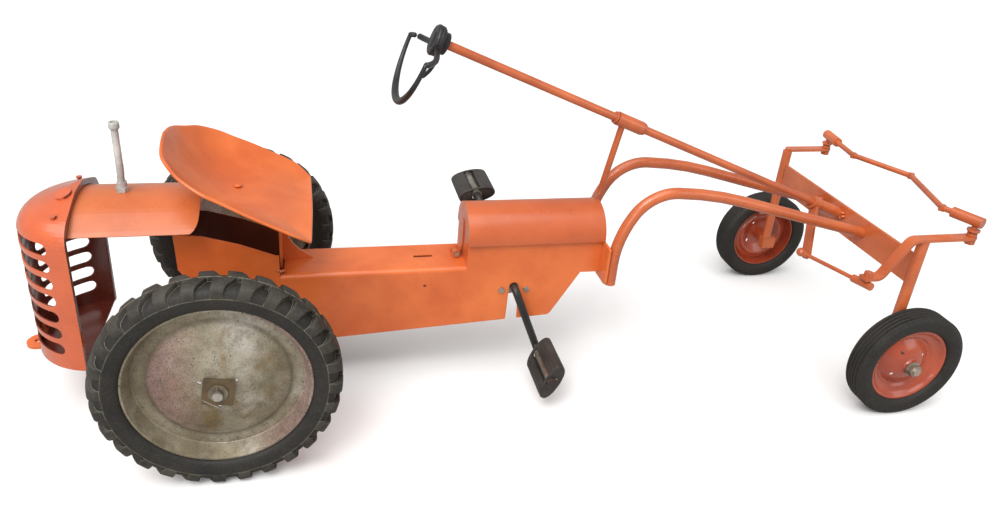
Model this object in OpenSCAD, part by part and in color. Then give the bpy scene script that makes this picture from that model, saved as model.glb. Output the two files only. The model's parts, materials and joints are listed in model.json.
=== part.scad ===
// Pedal tractor with a long nose: a folded chassis box carries the seat, the grille and the
// rear axle, two bent tubes carry the steered front axle far ahead of it.
// Millimetres, +X forward, +Y to the tractor's left, +Z up, ground at z = 0.
// The modules are drawn with x = 0 at the rear axle, and centred() moves them to the
// middle of the whole length.

/* [Stance] */
// Distance from the rear axle to the front stub axles
wheel_base = 1011; // [980:1:1060]
// Smoothness of round surfaces
round_fn = 64; // [32:8:128]

/* [Rear wheels] */
// Radius over the tread bars
rear_r = 152.4; // [146:0.2:158]
// Distance from the middle plane to the middle of a rear tyre
rear_half_track = 205; // [200:1:230]
// Width of a rear tyre
rear_tyre_w = 46; // [40:1:54]
// Height of a rear tyre from its rim to the tread bars
rear_tyre_h = 36.9; // [32:0.1:42]
// Width of the rear rim barrel
rear_rim_w = 30; // [24:1:36]
// Thickness of pressed wheel metal
disc_t = 2; // [1.5:0.1:3]
// Distance from the rear rim in to the dome pressed into the disc
dome_in = 26.5; // [22:0.5:40]
// Depth of the dish from the rim lip to the flat ring
dish_d = 18; // [8:1:22]
// How far the rear hub stands out beyond the dish ring
dome_h = 24; // [10:1:26]
// Height of a tread bar
lug_h = 7; // [3:0.5:9]
// Thickness of a tread bar around the tyre
lug_w = 12; // [8:0.5:14]
// Number of tread bars in each row
lug_count = 28; // [20:1:32]
// Slant of the tread bars in degrees
lug_slant = 28; // [15:1:40]
// Diameter of the rear axle
axle_d = 12.7; // [10:0.1:16]
// Outside diameter of a rear hub tube
hub_d = 24; // [20:1:30]
// Side of the square drive plate
drive_plate_a = 38; // [30:1:44]
// Thickness of the square drive plate
drive_plate_t = 3; // [2:0.5:5]

/* [Front wheels] */
// Radius of a front tyre
front_r = 90; // [85:0.5:95]
// Height of the front axles over the level of the belly's base line
stub_z = 101; // [97:0.5:105]
// Distance from the middle plane to the middle of a front tyre
front_half_track = 211; // [209:0.5:225]
// Width of a front tyre
front_tyre_w = 38; // [32:1:40]
// Height of a front tyre from its rim to the tread
front_tyre_h = 26.8; // [23:0.2:30]
// Width of the front rim barrel
front_rim_w = 24; // [18:1:30]
// Depth of the front disc inside its rim
front_dish_d = 11; // [6:1:14]
// Number of grooves around a front tyre
groove_count = 4; // [3:1:5]
// Depth of a tyre groove
groove_h = 2; // [1:0.5:4]
// Diameter of a front stub axle
stub_d = 12; // [10:0.5:14]

/* [Chassis] */
// Outside width of the folded chassis
chassis_w = 82; // [76:1:90]
// Thickness of the chassis sheet
sheet_t = 2; // [1.5:0.1:2.5]
// Height of the closed chassis top
deck_z = 203; // [200:1:210]
// Radius of the folds along the top
fold_r = 7; // [4:0.5:10]
// Rear end of the closed top
deck_x0 = 70; // [60:1:80]
// Front end of the closed top, where the sides rise to the tank
deck_x1 = 344; // [336:1:348]
// Height of the side plates under the tank
lip_z = 241.5; // [238:0.5:246]
// Front end of the side plates
nose_x = 557; // [550:1:566]
// Lowest height of the side plates near the rear axle
belly_z = 82; // [76:1:90]

/* [Crank] */
// Distance from the rear axle to the crank
crank_x = 421; // [416:1:430]
// Height of the crank
crank_z = 165; // [160:1:170]
// Diameter of the bent crank rod
crank_d = 12; // [10:0.5:13]
// Throw of the crank
crank_throw = 114; // [100:1:120]
// Angle of the right arm above straight ahead, in degrees
crank_deg = -68; // [-90:1:-40]
// Distance from the middle plane to the plane of a crank arm
arm_y = 54; // [53:1:58]
// Teeth on the crank sprocket
crank_teeth = 16; // [14:1:17]
// Teeth on the axle sprocket
axle_teeth = 12; // [10:1:14]
// Pitch of the chain
chain_pitch = 12.7; // [12:0.1:13]
// Width of the slot that lets the crank in from below
crank_slot_w = 15; // [14:0.5:18]

/* [Pedals] */
// Length of a pedal block along its pin
pedal_l = 77; // [70:1:82]
// Width of a pedal block across its pin
pedal_w = 60; // [50:1:66]
// Thickness of a pedal block
pedal_t = 24; // [18:1:28]
// Width of the channel between the two rubber bars
pedal_gap = 16; // [14:1:20]
// Tilt of the right pedal above straight ahead, in degrees
pedal_deg = 64; // [40:1:90]
// Tilt of the left pedal above straight ahead, in degrees
pedal_left_deg = 12; // [0:1:40]

/* [Grille and hood] */
// Radius of the round grille shell seen from above
grille_r = 93; // [88:1:98]
// Distance behind the rear axle of the shell's round axis
grille_x = -175; // [-182:1:-170]
// Distance behind the rear axle of the grille's open face
grille_face_x = -188; // [-198:1:-186]
// Height of the grille's lower edge
grille_z0 = 97; // [94:1:104]
// Height where the grille's wall turns over into its dome
grille_z1 = 290; // [286:1:296]
// Height of the dome's top
grille_top_z = 334; // [332:0.5:340]
// Thickness of the grille sheet
grille_t = 2; // [1.5:0.1:3]
// Width of the turned-in flange around the open face
grille_flange_w = 7; // [5:0.5:9]
// Height of the middle of the top slot
slot_top_z = 281; // [278:1:284]
// Distance between slots
slot_pitch = 25.5; // [23:0.5:27]
// Height of a slot
slot_h = 17.5; // [12:0.5:19]
// Number of slots on each side
slot_count = 7; // [5:1:7]
// Radius of the hood's arched sheet
hood_r = 118; // [112:1:130]
// Height of the hood's crown
hood_top_z = 324; // [320:1:328]
// Half width of the hood
hood_half_w = 78; // [72:1:82]
// Front end of the hood
hood_x1 = -30; // [-40:1:-26]
// Thickness of the hood sheet
hood_t = 1.6; // [1.2:0.1:2.5]
// Rear end of the drawbar
hitch_x = -291; // [-300:1:-286]
// Width of the drawbar
hitch_w = 32; // [26:1:40]
// Thickness of the drawbar
hitch_t = 5; // [4:0.5:8]
// Diameter of the hitch hole
hitch_hole_d = 9; // [7:0.5:12]
// Distance from the end of the drawbar to its hole
hitch_hole_in = 15; // [12:1:20]

/* [Exhaust] */
// Distance behind the rear axle of the exhaust
exhaust_x = -134; // [-144:1:-124]
// Height of the exhaust's tip
exhaust_top_z = 424; // [400:1:440]
// Diameter of the exhaust pipe
exhaust_d = 9.5; // [8:0.5:12]
// Diameter of the exhaust fitting
exhaust_base_d = 15; // [13:0.5:18]

/* [Seat] */
// Thickness of the seat pan
seat_t = 2.4; // [1.6:0.2:3.2]
// Radius of the rolled seat edge
seat_roll_r = 2.4; // [1.5:0.1:3]
// Height of the seat's front edge
seat_front_z = 293; // [290:1:297]
// Thickness of the seat bracket
bracket_t = 3; // [2:0.5:5]

/* [Tank] */
// Outside radius of the half-round tank cover
tank_r = 47.6; // [46:0.2:52]
// Thickness of the tank sheet
tank_t = 1.5; // [1:0.1:2.5]
// How far the tank lid passes the front end of the chassis
tank_over = 2; // [0:0.5:4]
// Height of the tank's hinge bolt above the deck
hinge_h = 7; // [6:0.5:10]
// Diameter of the tank's hinge bolt
hinge_d = 5; // [4:0.5:6]

/* [Front frame] */
// Outside diameter of the frame tubes
tube_d = 17.8; // [16:0.1:20]
// Wall of the frame tubes
tube_wall = 1.6; // [1.2:0.1:3]
// Distance from the middle plane to a frame tube
tube_y = 61; // [56:0.5:66]
// Half width of the nose plate
nose_half_w = 70; // [66:1:78]
// Thickness of the nose plate
nose_t = 4; // [3:0.5:6]
// Rear face of the bolster plate, behind the stub axles
bolster_back = 10.5; // [9:0.5:12]
// Thickness of the bolster plate
bolster_t = 4.5; // [3:0.5:6]
// Height of the bolster's lower edge
bolster_z0 = 222; // [218:1:228]
// Height of the bolster's upper edge
bolster_z1 = 271; // [266:1:276]
// Distance from the middle plane to a kingpin
kingpin_y = 180; // [178:0.5:184]
// Diameter of a kingpin
kingpin_d = 11; // [9:0.5:12]
// Outside diameter of a kingpin tube
housing_d = 16.5; // [15:0.5:18]
// Height of the top of the kingpin tubes
housing_z1 = 297; // [292:1:300]

/* [Steering] */
// Diameter of the steering shaft
shaft_d = 12.7; // [11:0.1:14]
// Slope of the steering shaft in degrees
shaft_deg = 21.95; // [20:0.1:24]
// Length of the steering shaft
shaft_l = 765; // [752:1:776]
// Radius of the steering wheel's rim
wheel_r = 82; // [74:1:90]
// Thickness of the steering wheel's rim
wheel_rim_d = 8.5; // [7:0.5:11]
// Rise of the rim's plane above the hub
wheel_dish = 16; // [10:1:24]
// Drop of the rim's centre below the hub
wheel_drop = 14; // [8:1:20]
// Outside diameter of the steering hub
wheel_hub_d = 46; // [40:1:54]
// Length of the pitman arm
pitman_l = 90; // [84:1:94]
// Swing of the pitman arm to the right of straight down, in degrees
pitman_deg = 33; // [28:1:38]
// Thickness of flat steering bars
flat_t = 5; // [4:0.5:6]
// Width of flat steering bars
flat_w = 16; // [13:0.5:20]
// Reach of the steering arms ahead of the kingpins
arm_reach = 81; // [74:1:88]
// Reach of the right arm behind its kingpin
tail_reach = 77; // [72:1:84]
// Height of the tie rod above the arms
tie_rise = 24; // [20:1:30]
// Diameter of the tie rod
tie_d = 9; // [7:0.5:11]
// Diameter of the drag link
drag_d = 6.5; // [5:0.5:9]

/* [Hidden] */
$fn = round_fn;

// Places worked out from the sizes above
axle_z = rear_r;
rear_rim_r = rear_r - rear_tyre_h;
dome_r = rear_rim_r - dome_in;
front_rim_r = front_r - front_tyre_h;
running = 0.05;
snug = 0.1;
rest_gap = 0.3;
side_in = chassis_w / 2 - sheet_t;

// Outline of a side plate seen from the side: the rear trough, the belly and the nose
trough = [[deck_x0, 236], [deck_x0 - 4, 236], [18, 256], [-32, 271], [-69, 275], [-67, 220],
          [-59, 208], [-46, belly_z + 22], [-28, belly_z + 3], [0, belly_z]];
chin = [nose_x - 74, 110];
nose_low_z = 185.6;
nose_foot = [nose_x - 30, nose_low_z];
chin_r = 9;

// Bent tube path: bends follow each other from the upright start at the nose plate
tube_foot_z = 175;
tube_rise = 34;
tube_bend_1 = [164, 30.4];
tube_bend_2 = [73, 62.2];
tube_bend_3 = [511, 12.6];
tube_x0 = nose_x + nose_t + tube_d / 2;
tank_x1 = nose_x + tank_over;

// Steering shaft: its lower end sits in the bearing on the bolster
kingpin_x = wheel_base - 8;
bolster_x0 = wheel_base - bolster_back;
column_foot = [bolster_x0 - 6, 0, 255];
bearing_l = 42;
bearing_d = 20;
strut_y = 22;
strut_d = 10;
strut_knee = [nose_x + nose_t + 7, 300];
strut_lean = 11;
joint_swell = 0.6;
strut_along = (column_foot.x - strut_knee.x - strut_lean) / cos(shaft_deg);
collar_at = [strut_along - 34, strut_along + 12];

// Front axle
arm_z0 = housing_z1 + rest_gap;
arm_z1 = arm_z0 + flat_t;
block_z = [stub_z - 11, stub_z + 10.5];
block_y = [kingpin_y - 8, kingpin_y + 7];
tail_z = 240;
tie_z = arm_z1 + tie_rise;
tie_y = kingpin_y;
nut_h = 7;

// Chain wheels
crank_sprocket_r = chain_pitch / 2 / sin(180 / crank_teeth);
axle_sprocket_r = chain_pitch / 2 / sin(180 / axle_teeth);
roller_d = 7.9;
sprocket_t = 2.8;
plate_t = 1.4;
chain_w = sprocket_t + 2 * rest_gap + 2 * plate_t;

tie_bow_x = kingpin_x + 105;
tie_knee_d = tie_d + 1;
tie_knee_h = tie_knee_d - 0.4;
bar_z0 = belly_z + 2;

// The frame leans forward about the rear axle until the smaller front tyres stand on the ground
wheel_line = [wheel_base, stub_z - axle_z];
frame_tilt = asin((rear_r - front_r) / norm(wheel_line)) + atan2(wheel_line.y, wheel_line.x);
function leaning_x(x, z) = x * cos(frame_tilt) + (z - axle_z) * sin(frame_tilt);

// Whole length, which puts the origin in its middle
mid_x = (leaning_x(hitch_x, bar_z0) + leaning_x(tie_bow_x + tie_knee_d / 2, tie_z + tie_knee_h / 2)) / 2;

orange = [0.80, 0.34, 0.16];
rubber = [0.13, 0.13, 0.13];
zinc = [0.62, 0.60, 0.55];
steel = [0.55, 0.55, 0.56];

// Outline helpers
function unit(v) = v / norm(v);
function arc(c, r, a0, a1, n) =
    [for (i = [0:n]) let (a = a0 + (a1 - a0) * i / n) c + r * [cos(a), sin(a)]];
function turned(a) = a > 180 ? a - 360 : (a < -180 ? a + 360 : a);
function fillet(a, b, c, r, n = 6) =
    let (u = unit(a - b), v = unit(c - b), half = acos(u * v) / 2, centre = b + unit(u + v) * r / sin(half),
         p = b + u * r / tan(half), q = b + v * r / tan(half), a0 = atan2(p.y - centre.y, p.x - centre.x),
         a1 = atan2(q.y - centre.y, q.x - centre.x))
    arc(centre, r, a0, a0 + turned(a1 - a0), n);
function rounded(p, radii) =
    [for (i = [0:len(p) - 1])
        each radii[i] > 0
            ? fillet(p[(i + len(p) - 1) % len(p)], p[i], p[(i + 1) % len(p)], radii[i]) : [p[i]]];
function beside(p, i, d) =
    let (last = len(p) - 1, a = unit(p[max(i, 1)] - p[max(i, 1) - 1]),
         b = unit(p[min(i, last - 1) + 1] - p[min(i, last - 1)]), m = unit(a + b))
    p[i] + d / (m * a) * [-m.y, m.x];
function ribbon(p, t) =
    concat([for (i = [0:len(p) - 1]) beside(p, i, t / 2)],
        [for (i = [len(p) - 1:-1:0]) beside(p, i, -t / 2)]);

module centred() {
    translate([-mid_x, 0, axle_z]) rotate([0, frame_tilt, 0]) translate([0, 0, -axle_z]) children();
}

// side is 1 on the left and -1 on the right
module on_side(side) {
    mirror([0, side > 0 ? 0 : 1, 0]) children();
}

module in_xz(y0, y1) {
    translate([0, y1, 0]) rotate([90, 0, 0]) linear_extrude(y1 - y0) children();
}

module in_yz(x0, x1) {
    translate([x0, 0, 0]) rotate([90, 0, 90]) linear_extrude(x1 - x0) children();
}

module box(x, y, z) {
    translate([x[0], y[0], z[0]]) cube([x[1] - x[0], y[1] - y[0], z[1] - z[0]]);
}

module along_y(d, y0, y1) {
    translate([0, y0, 0]) rotate([-90, 0, 0]) cylinder(d = d, h = y1 - y0);
}

module upright(d, z0, z1) {
    translate([0, 0, z0]) cylinder(d = d, h = z1 - z0);
}

module hex_nut(across, h) {
    cylinder(d = across / cos(30), h = h, $fn = 6);
}

// A round rod between two points
module rod(a, b, d) {
    v = b - a;
    translate(a) rotate([0, acos(v.z / norm(v)), atan2(v.y, v.x)]) cylinder(d = d, h = norm(v));
}

// A round rod that starts along +X in its own plane; each step is [length] or [bend radius, bend angle]
module bent_rod(steps, d, i = 0) {
    if (i < len(steps)) {
        s = steps[i];
        if (len(s) == 1) {
            rotate([0, 90, 0]) cylinder(d = d, h = s[0]);
            translate([s[0], 0, 0]) bent_rod(steps, d, i + 1);
        } else {
            turn = s[1] > 0 ? 1 : -1;
            translate([0, turn * s[0], 0]) rotate([0, 0, turn > 0 ? -90 : 90 - abs(s[1])])
                rotate_extrude(angle = abs(s[1])) translate([s[0], 0]) circle(d = d);
            translate([0, turn * s[0], 0]) rotate([0, 0, s[1]]) translate([0, -turn * s[0], 0])
                bent_rod(steps, d, i + 1);
        }
    }
}

// The shaft's own frame: Z up the shaft to the driver, X up and forward, Y to the left
module on_shaft() {
    translate(column_foot) rotate([0, shaft_deg - 90, 0]) children();
}

module side_outline() {
    shoulder = deck_z - fold_r;
    corners = concat([[nose_x, lip_z], [deck_x1, lip_z], [deck_x1, shoulder], [deck_x0, shoulder]],
                     trough, [chin, nose_foot, [nose_x, nose_low_z]]);
    radii = [for (c = corners) c == chin ? chin_r : 0];
    polygon(rounded(corners, radii));
}

bearing_d_axle = 20;
bearing_bolt_x = 20;
bearing_bolt_drop = 4.5;
bolt_d = 5;
slot_flare = 2.5;
deck_slot_x = [268, 297];
deck_slot_w = 6;
drain_hole = [281, 174];

module crank_slot() {
    depth = crank_z - belly_z;
    half = crank_slot_w / 2;
    translate([crank_x, crank_z]) {
        circle(r = half);
        polygon([[-half, 0], [half, 0], [half + slot_flare, -depth], [-half - slot_flare, -depth]]);
    }
}

module chassis_side() {
    in_xz(side_in, side_in + sheet_t) difference() {
        side_outline();
        crank_slot();
        translate([0, axle_z]) circle(d = bearing_d_axle);
        for (s = [-1, 1]) translate([crank_x + s * bearing_bolt_x, crank_z - bearing_bolt_drop])
            circle(d = bolt_d + snug);
        translate(drain_hole) circle(d = bolt_d);
    }
}

// Half of the folded top, from the middle to one side
function fold_half(r, t) =
    let (c = [chassis_w / 2 - fold_r, deck_z - fold_r])
    concat([[0, deck_z - t]], arc(c, r, 90, 0, 8));

module deck() {
    outer = fold_half(fold_r, 0);
    inner = fold_half(fold_r - sheet_t, sheet_t);
    section = concat(outer, [for (i = [len(inner) - 1:-1:0]) inner[i]]);
    difference() {
        in_yz(deck_x0, deck_x1) union() {
            polygon(section);
            mirror([1, 0]) polygon(section);
        }
        box(deck_slot_x, [-deck_slot_w / 2, deck_slot_w / 2], [deck_z - 2 * sheet_t, deck_z + sheet_t]);
    }
}

nose_floor_x = nose_x - 28;
nose_bolt_x = nose_x - 18;

module chassis_shell() {
    color(orange) {
        for (side = [-1, 1]) on_side(side) chassis_side();
        deck();
        tank_hinge_ears();
        box([deck_x1, deck_x1 + sheet_t], [-side_in, side_in], [deck_z - sheet_t, lip_z]);
        difference() {
            box([nose_floor_x, nose_x], [-side_in, side_in], [nose_low_z, nose_low_z + sheet_t]);
            translate([nose_bolt_x, 0, 0]) upright(bolt_d + snug, nose_low_z - 1, nose_low_z + sheet_t + 1);
        }
    }
}

hood_bracket_x = [-66, -63];
hood_bracket_z0 = 225;

module hood_bracket() {
    color(orange) intersection() {
        box(hood_bracket_x, [-side_in, side_in], [hood_bracket_z0, hood_top_z]);
        translate([hood_bracket_x[0] - 1, 0, hood_top_z - hood_r]) rotate([0, 90, 0])
            cylinder(r = hood_r - hood_t, h = bracket_t + 2);
    }
}

bush_flange_d = 28;
bush_flange_t = 3;

module rear_axle_bearings() {
    color(zinc) for (side = [-1, 1]) on_side(side) translate([0, 0, axle_z]) difference() {
        union() {
            along_y(bearing_d_axle, side_in - 4, side_in + sheet_t);
            along_y(bush_flange_d, side_in + sheet_t, side_in + sheet_t + bush_flange_t);
        }
        along_y(axle_d + 2 * running, side_in - 5, side_in + 10);
    }
}

crank_bearing_t = 5;
crank_bearing_h = 24;

module crank_bearings() {
    color(zinc) for (side = [-1, 1]) on_side(side) translate([crank_x, 0, crank_z]) difference() {
        box([-bearing_bolt_x - 8, bearing_bolt_x + 8], [side_in - crank_bearing_t, side_in],
            [-crank_bearing_h / 2, crank_bearing_h / 2]);
        along_y(crank_d + 2 * running, side_in - 10, side_in + 10);
        for (s = [-1, 1]) translate([s * bearing_bolt_x, 0, -bearing_bolt_drop])
            along_y(bolt_d + snug, side_in - 10, side_in + 10);
    }
}

bolt_head_d = 9;
bolt_head_h = 3;

module crank_bearing_bolts() {
    inner = side_in - crank_bearing_t;
    color(zinc) for (side = [-1, 1], s = [-1, 1])
        on_side(side) translate([crank_x + s * bearing_bolt_x, 0, crank_z - bearing_bolt_drop]) {
            along_y(bolt_d, inner - 6, side_in + sheet_t);
            along_y(bolt_head_d, side_in + sheet_t, side_in + sheet_t + bolt_head_h);
            translate([0, inner - 4, 0]) rotate([-90, 0, 0]) hex_nut(8, 4);
        }
}

// Outline around both chain wheels at a distance from the pitch line
function chain_loop(extra) =
    let (r1 = crank_sprocket_r, r2 = axle_sprocket_r, a = [crank_x, crank_z], b = [0, axle_z], v = a - b,
         tilt = atan2(v.y, v.x), open = acos((r2 - r1) / norm(v)))
    concat(arc(b, r2 + extra, tilt + open, tilt + 360 - open, 16),
           arc(a, r1 + extra, tilt - open, tilt + open, 16));

link_h = 4;
roller_margin = 26;

module drive_chain() {
    v = [crank_x, crank_z - axle_z];
    tilt = atan2(v.y, v.x);
    lean = asin((crank_sprocket_r - axle_sprocket_r) / norm(v));
    run = norm(v) * cos(lean) - 2 * roller_margin;
    count = floor(run / chain_pitch);
    color(steel) {
        for (side = [-1, 1]) on_side(side)
            in_xz(chain_w / 2 - plate_t, chain_w / 2) difference() {
                polygon(chain_loop(link_h));
                polygon(chain_loop(-link_h));
            }
        for (s = [-1, 1], i = [0:count])
            translate([0, 0, axle_z]) rotate([0, -tilt - s * lean, 0])
                translate([roller_margin + i * chain_pitch, 0, s * axle_sprocket_r])
                    along_y(roller_d - 2, plate_t - chain_w / 2, chain_w / 2 - plate_t);
    }
}

// Grille: a round wall under a dome, cut off flat at its open face
dome_edge_r = 32;
dome_shoulder_z = grille_z1 + 17;
dome_crown_r = 24;

function grille_edge(inset) =
    let (r = grille_r - inset, top = grille_top_z - inset)
    concat([[r, grille_z0]],
        fillet([r, grille_z1 - 11], [r, dome_shoulder_z], [dome_crown_r, top - 1], dome_edge_r - inset, 7),
           [[dome_crown_r, top - 1], [0, top]]);

module grille_solid() {
    translate([grille_x, 0, 0]) rotate_extrude() polygon(concat([[0, grille_z0]], grille_edge(0)));
}

slot_mid_deg = 140;
slot_half_l = 41;
slot_end_n = 6;

module grille_slots() {
    r = slot_h / 2;
    flat = slot_half_l - r;
    ends = concat(arc([0, flat], r, 0, 180, slot_end_n), arc([0, -flat], r, 180, 360, slot_end_n));
    for (side = [-1, 1], i = [0:slot_count - 1]) on_side(side)
        translate([grille_x, 0, slot_top_z - i * slot_pitch]) rotate([0, 90, slot_mid_deg])
            translate([0, 0, grille_r - 26]) linear_extrude(50) polygon(ends);
}

grille_floor_z = grille_z0 + 2;
screw_at = [-205, 63];
screw_d = 4;
screw_head_d = 8;
cap_at = [-202, -20];
lug_screw_z = 112;
lug_x = grille_x - grille_r + grille_t + 0.9;
lug_t = 3;
lug_half_w = 9;

module grille_shell() {
    far = 2 * grille_r;
    flange_r = grille_r - grille_t - grille_flange_w;
    outer = grille_edge(0);
    inner = grille_edge(grille_t);
    last = len(inner) - 1;
    color(orange) difference() {
        intersection() {
            union() {
                translate([grille_x, 0, 0]) {
                    rotate_extrude() polygon(concat(outer, [for (i = [last:-1:0]) inner[i]]));
                    upright(2 * grille_r - grille_t, grille_floor_z, grille_floor_z + grille_t);
                }
                intersection() {
                    grille_solid();
                    difference() {
                        box([grille_face_x - grille_t, grille_face_x], [-grille_r, grille_r],
                            [grille_z0, grille_top_z]);
                        box([grille_face_x - far, grille_face_x + far], [-flange_r, flange_r],
                            [0, grille_z1 - 30]);
                        intersection() {
                            translate([grille_face_x - far, 0, hood_top_z - hood_r]) rotate([0, 90, 0])
                                cylinder(r = hood_r + 1, h = 2 * far);
                            box([grille_face_x - far, grille_face_x + far], [-flange_r, flange_r],
                                [grille_z1 - 60, grille_top_z]);
                        }
                    }
                }
            }
            box([grille_face_x - far, grille_face_x], [-far, far], [grille_z0, grille_top_z + 1]);
        }
        grille_slots();
        for (s = [-1, 1]) translate([screw_at.x, s * screw_at.y, 0])
            upright(screw_d + snug, grille_z1, grille_top_z + 9);
        translate([0, 0, lug_screw_z]) rotate([0, -90, 0]) cylinder(d = screw_d + snug, h = -hitch_x);
        box([lug_x - rest_gap, lug_x + lug_t + rest_gap], [-lug_half_w - rest_gap, lug_half_w + rest_gap],
            [grille_floor_z - 1, grille_floor_z + grille_t + 1]);
    }
}

cap_d = 22;
cap_h = 3;

// Height of the dome's outside at a distance from its axis, on its straight flank
dome_slope = (grille_top_z - 1 - dome_shoulder_z) / (grille_r - dome_crown_r);
function dome_z(r) = grille_top_z - 1 - dome_slope * (r - dome_crown_r);
function hood_z(y) = hood_top_z - hood_r + sqrt(hood_r * hood_r - y * y);

module grille_screws() {
    head_z = dome_z(norm([screw_at.x - grille_x, screw_at.y]) - screw_head_d / 2) + rest_gap;
    nut_z = hood_z(screw_at.y) - hood_t - 6.5;
    color(orange) {
        for (s = [-1, 1]) translate([screw_at.x, s * screw_at.y, 0]) {
            upright(screw_d, nut_z, head_z + 1);
            upright(screw_head_d, head_z, head_z + 2.2);
            translate([0, 0, nut_z]) hex_nut(7, 3);
        }
        translate([grille_x - grille_r, 0, lug_screw_z]) rotate([0, 90, 0]) {
            translate([0, 0, -2]) cylinder(d = screw_head_d, h = 2);
            translate([0, 0, -1]) cylinder(d = screw_d, h = 10);
        }
    }
}

module grille_cap() {
    out = [cap_at.x - grille_x, cap_at.y];
    color(orange) difference() {
        translate([cap_at.x, cap_at.y, dome_z(norm(out))])
            rotate([0, atan(dome_slope), atan2(out.y, out.x)]) upright(cap_d, -1, cap_h);
        grille_solid();
    }
}

hood_tail = 26;
hood_corner_r = 18;

module hood() {
    half_deg = asin(hood_half_w / hood_r);
    x0 = grille_face_x - hood_tail;
    centre = [0, hood_top_z - hood_r];
    section = concat(arc(centre, hood_r, 90 - half_deg, 90 + half_deg, 24),
                     arc(centre, hood_r - hood_t, 90 + half_deg, 90 - half_deg, 24));
    lip = hood_z(hood_half_w) - hood_t - 0.2;
    color(orange) difference() {
        intersection() {
            in_yz(x0, hood_x1) polygon(section);
            in_xz(-hood_r, hood_r)
                polygon(rounded([[x0, lip], [hood_x1, lip], [hood_x1, hood_top_z + 9], [x0, hood_top_z + 9]],
                                [0, hood_corner_r, 0, 0]));
        }
        translate([exhaust_x, 0, 0]) upright(exhaust_d + snug, hood_top_z - 9, hood_top_z + 9);
        for (s = [-1, 1]) translate([screw_at.x, s * screw_at.y, 0])
            upright(screw_d + snug, hood_z(screw_at.y) - 9, hood_top_z);
    }
}

exhaust_base_h = 14;
exhaust_cap_d = 14;
exhaust_cap_h = 9;

module exhaust_base() {
    color(steel) translate([exhaust_x, 0, hood_top_z]) difference() {
        union() {
            hex_nut(exhaust_base_d, exhaust_base_h * 0.45);
            cylinder(d = exhaust_base_d - 2, h = exhaust_base_h);
        }
        translate([0, 0, -1]) cylinder(d = exhaust_d + snug, h = exhaust_base_h + 2);
    }
}

module exhaust_pipe() {
    color(steel) translate([exhaust_x, 0, 0]) difference() {
        union() {
            upright(exhaust_d, hood_top_z - 12, exhaust_top_z - 1);
            upright(exhaust_cap_d, exhaust_top_z - exhaust_cap_h, exhaust_top_z);
            upright(exhaust_d + 4, hood_top_z - 8, hood_top_z - hood_t - 0.4);
        }
        upright(exhaust_d - 3, exhaust_top_z - 20, exhaust_top_z + 1);
    }
}

foot_x = [-30, 0];
module drawbar() {
    end_r = hitch_w / 2;
    bar = concat(arc([hitch_x + end_r, 0], end_r, 270, 90, 16), [[foot_x[0], end_r], [foot_x[0], side_in],
                 [foot_x[1], side_in], [foot_x[1], -side_in], [foot_x[0], -side_in], [foot_x[0], -end_r]]);
    color(orange) difference() {
        union() {
            translate([0, 0, bar_z0]) linear_extrude(hitch_t) polygon(bar);
            box([lug_x, lug_x + lug_t], [-lug_half_w, lug_half_w], [bar_z0 + 1, lug_screw_z + 8]);
        }
        translate([hitch_x + hitch_hole_in, 0, 0]) upright(hitch_hole_d, bar_z0 - 1, bar_z0 + hitch_t + 1);
        translate([lug_x - 1, 0, lug_screw_z]) rotate([0, 90, 0])
            cylinder(d = screw_d + snug, h = lug_t + 2);
    }
}

// Seat: a rim of half widths and heights, dished to a sloping floor
seat_rim = [[114, 104, seat_front_z], [103, 113, 303], [88, 119, 314], [53, 118.6, 333], [29, 117, 346],
            [6, 113, 358], [-17, 110, 370], [-42, 95, 383], [-56, 75, 390], [-67, 54, 398],
            [-70, 28, 405], [-71, 0, 409]];
seat_centre = [40, 0];
seat_x1 = 114;
seat_floor_rise = 27;
seat_floor_run = 135;
seat_flat = 3;
seat_bolt_at = [14.5, 18];
seat_bolt_d = 6;
rim_steps = 3;
front_steps = 7;

function seat_floor(x) = seat_front_z + seat_floor_rise * sin(90 * min(1, (seat_x1 - x) / seat_floor_run));
// Height of the seat's upper face on its middle line
function seat_mid_z(x) =
    let (front = x > seat_centre.x, back = seat_rim[len(seat_rim) - 1], end = front ? seat_rim[0] : back,
         w = pow((x - seat_centre.x) / (end.x - seat_centre.x), seat_flat))
    seat_floor(x) * (1 - w) + w * end.z;
function blend(p, i, f) =
    let (n = len(p) - 1, a = p[max(i - 1, 0)], b = p[i], c = p[min(i + 1, n)], d = p[min(i + 2, n)])
    b + f / 2 * (c - a + f * (2 * a - 5 * b + 4 * c - d + f * (3 * b - a - 3 * c + d)));
function seat_half() =
    [for (i = [0:len(seat_rim) - 2], k = [0:rim_steps - 1]) blend(seat_rim, i, k / rim_steps)];
function seat_loop() =
    let (h = seat_half(), front = seat_rim[0])
    concat(h, [seat_rim[len(seat_rim) - 1]], [for (i = [len(h) - 1:-1:0]) [h[i].x, -h[i].y, h[i].z]],
           [for (k = [1:front_steps]) [front.x, front.y * (2 * k / (front_steps + 1) - 1), front.z]]);
function seat_point(p, s) =
    let (x = seat_centre.x + s * (p.x - seat_centre.x), w = pow(s, seat_flat))
    [x, s * p.y, seat_floor(x) * (1 - w) + w * p.z];
function seat_out(p) = unit([p.x - seat_centre.x, p.y]);
function seat_under(p, s) =
    let (q = seat_point(p, s), o = seat_out(p), e = 0.02, r = norm([p.x - seat_centre.x, p.y]),
         slope = (seat_point(p, s).z - seat_point(p, s - e).z) / (e * r))
    q - seat_t * unit([-slope * o.x, -slope * o.y, 1]);
function seat_lip(p, out, up) = let (o = seat_out(p)) p + [out * o.x, out * o.y, up];
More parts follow.
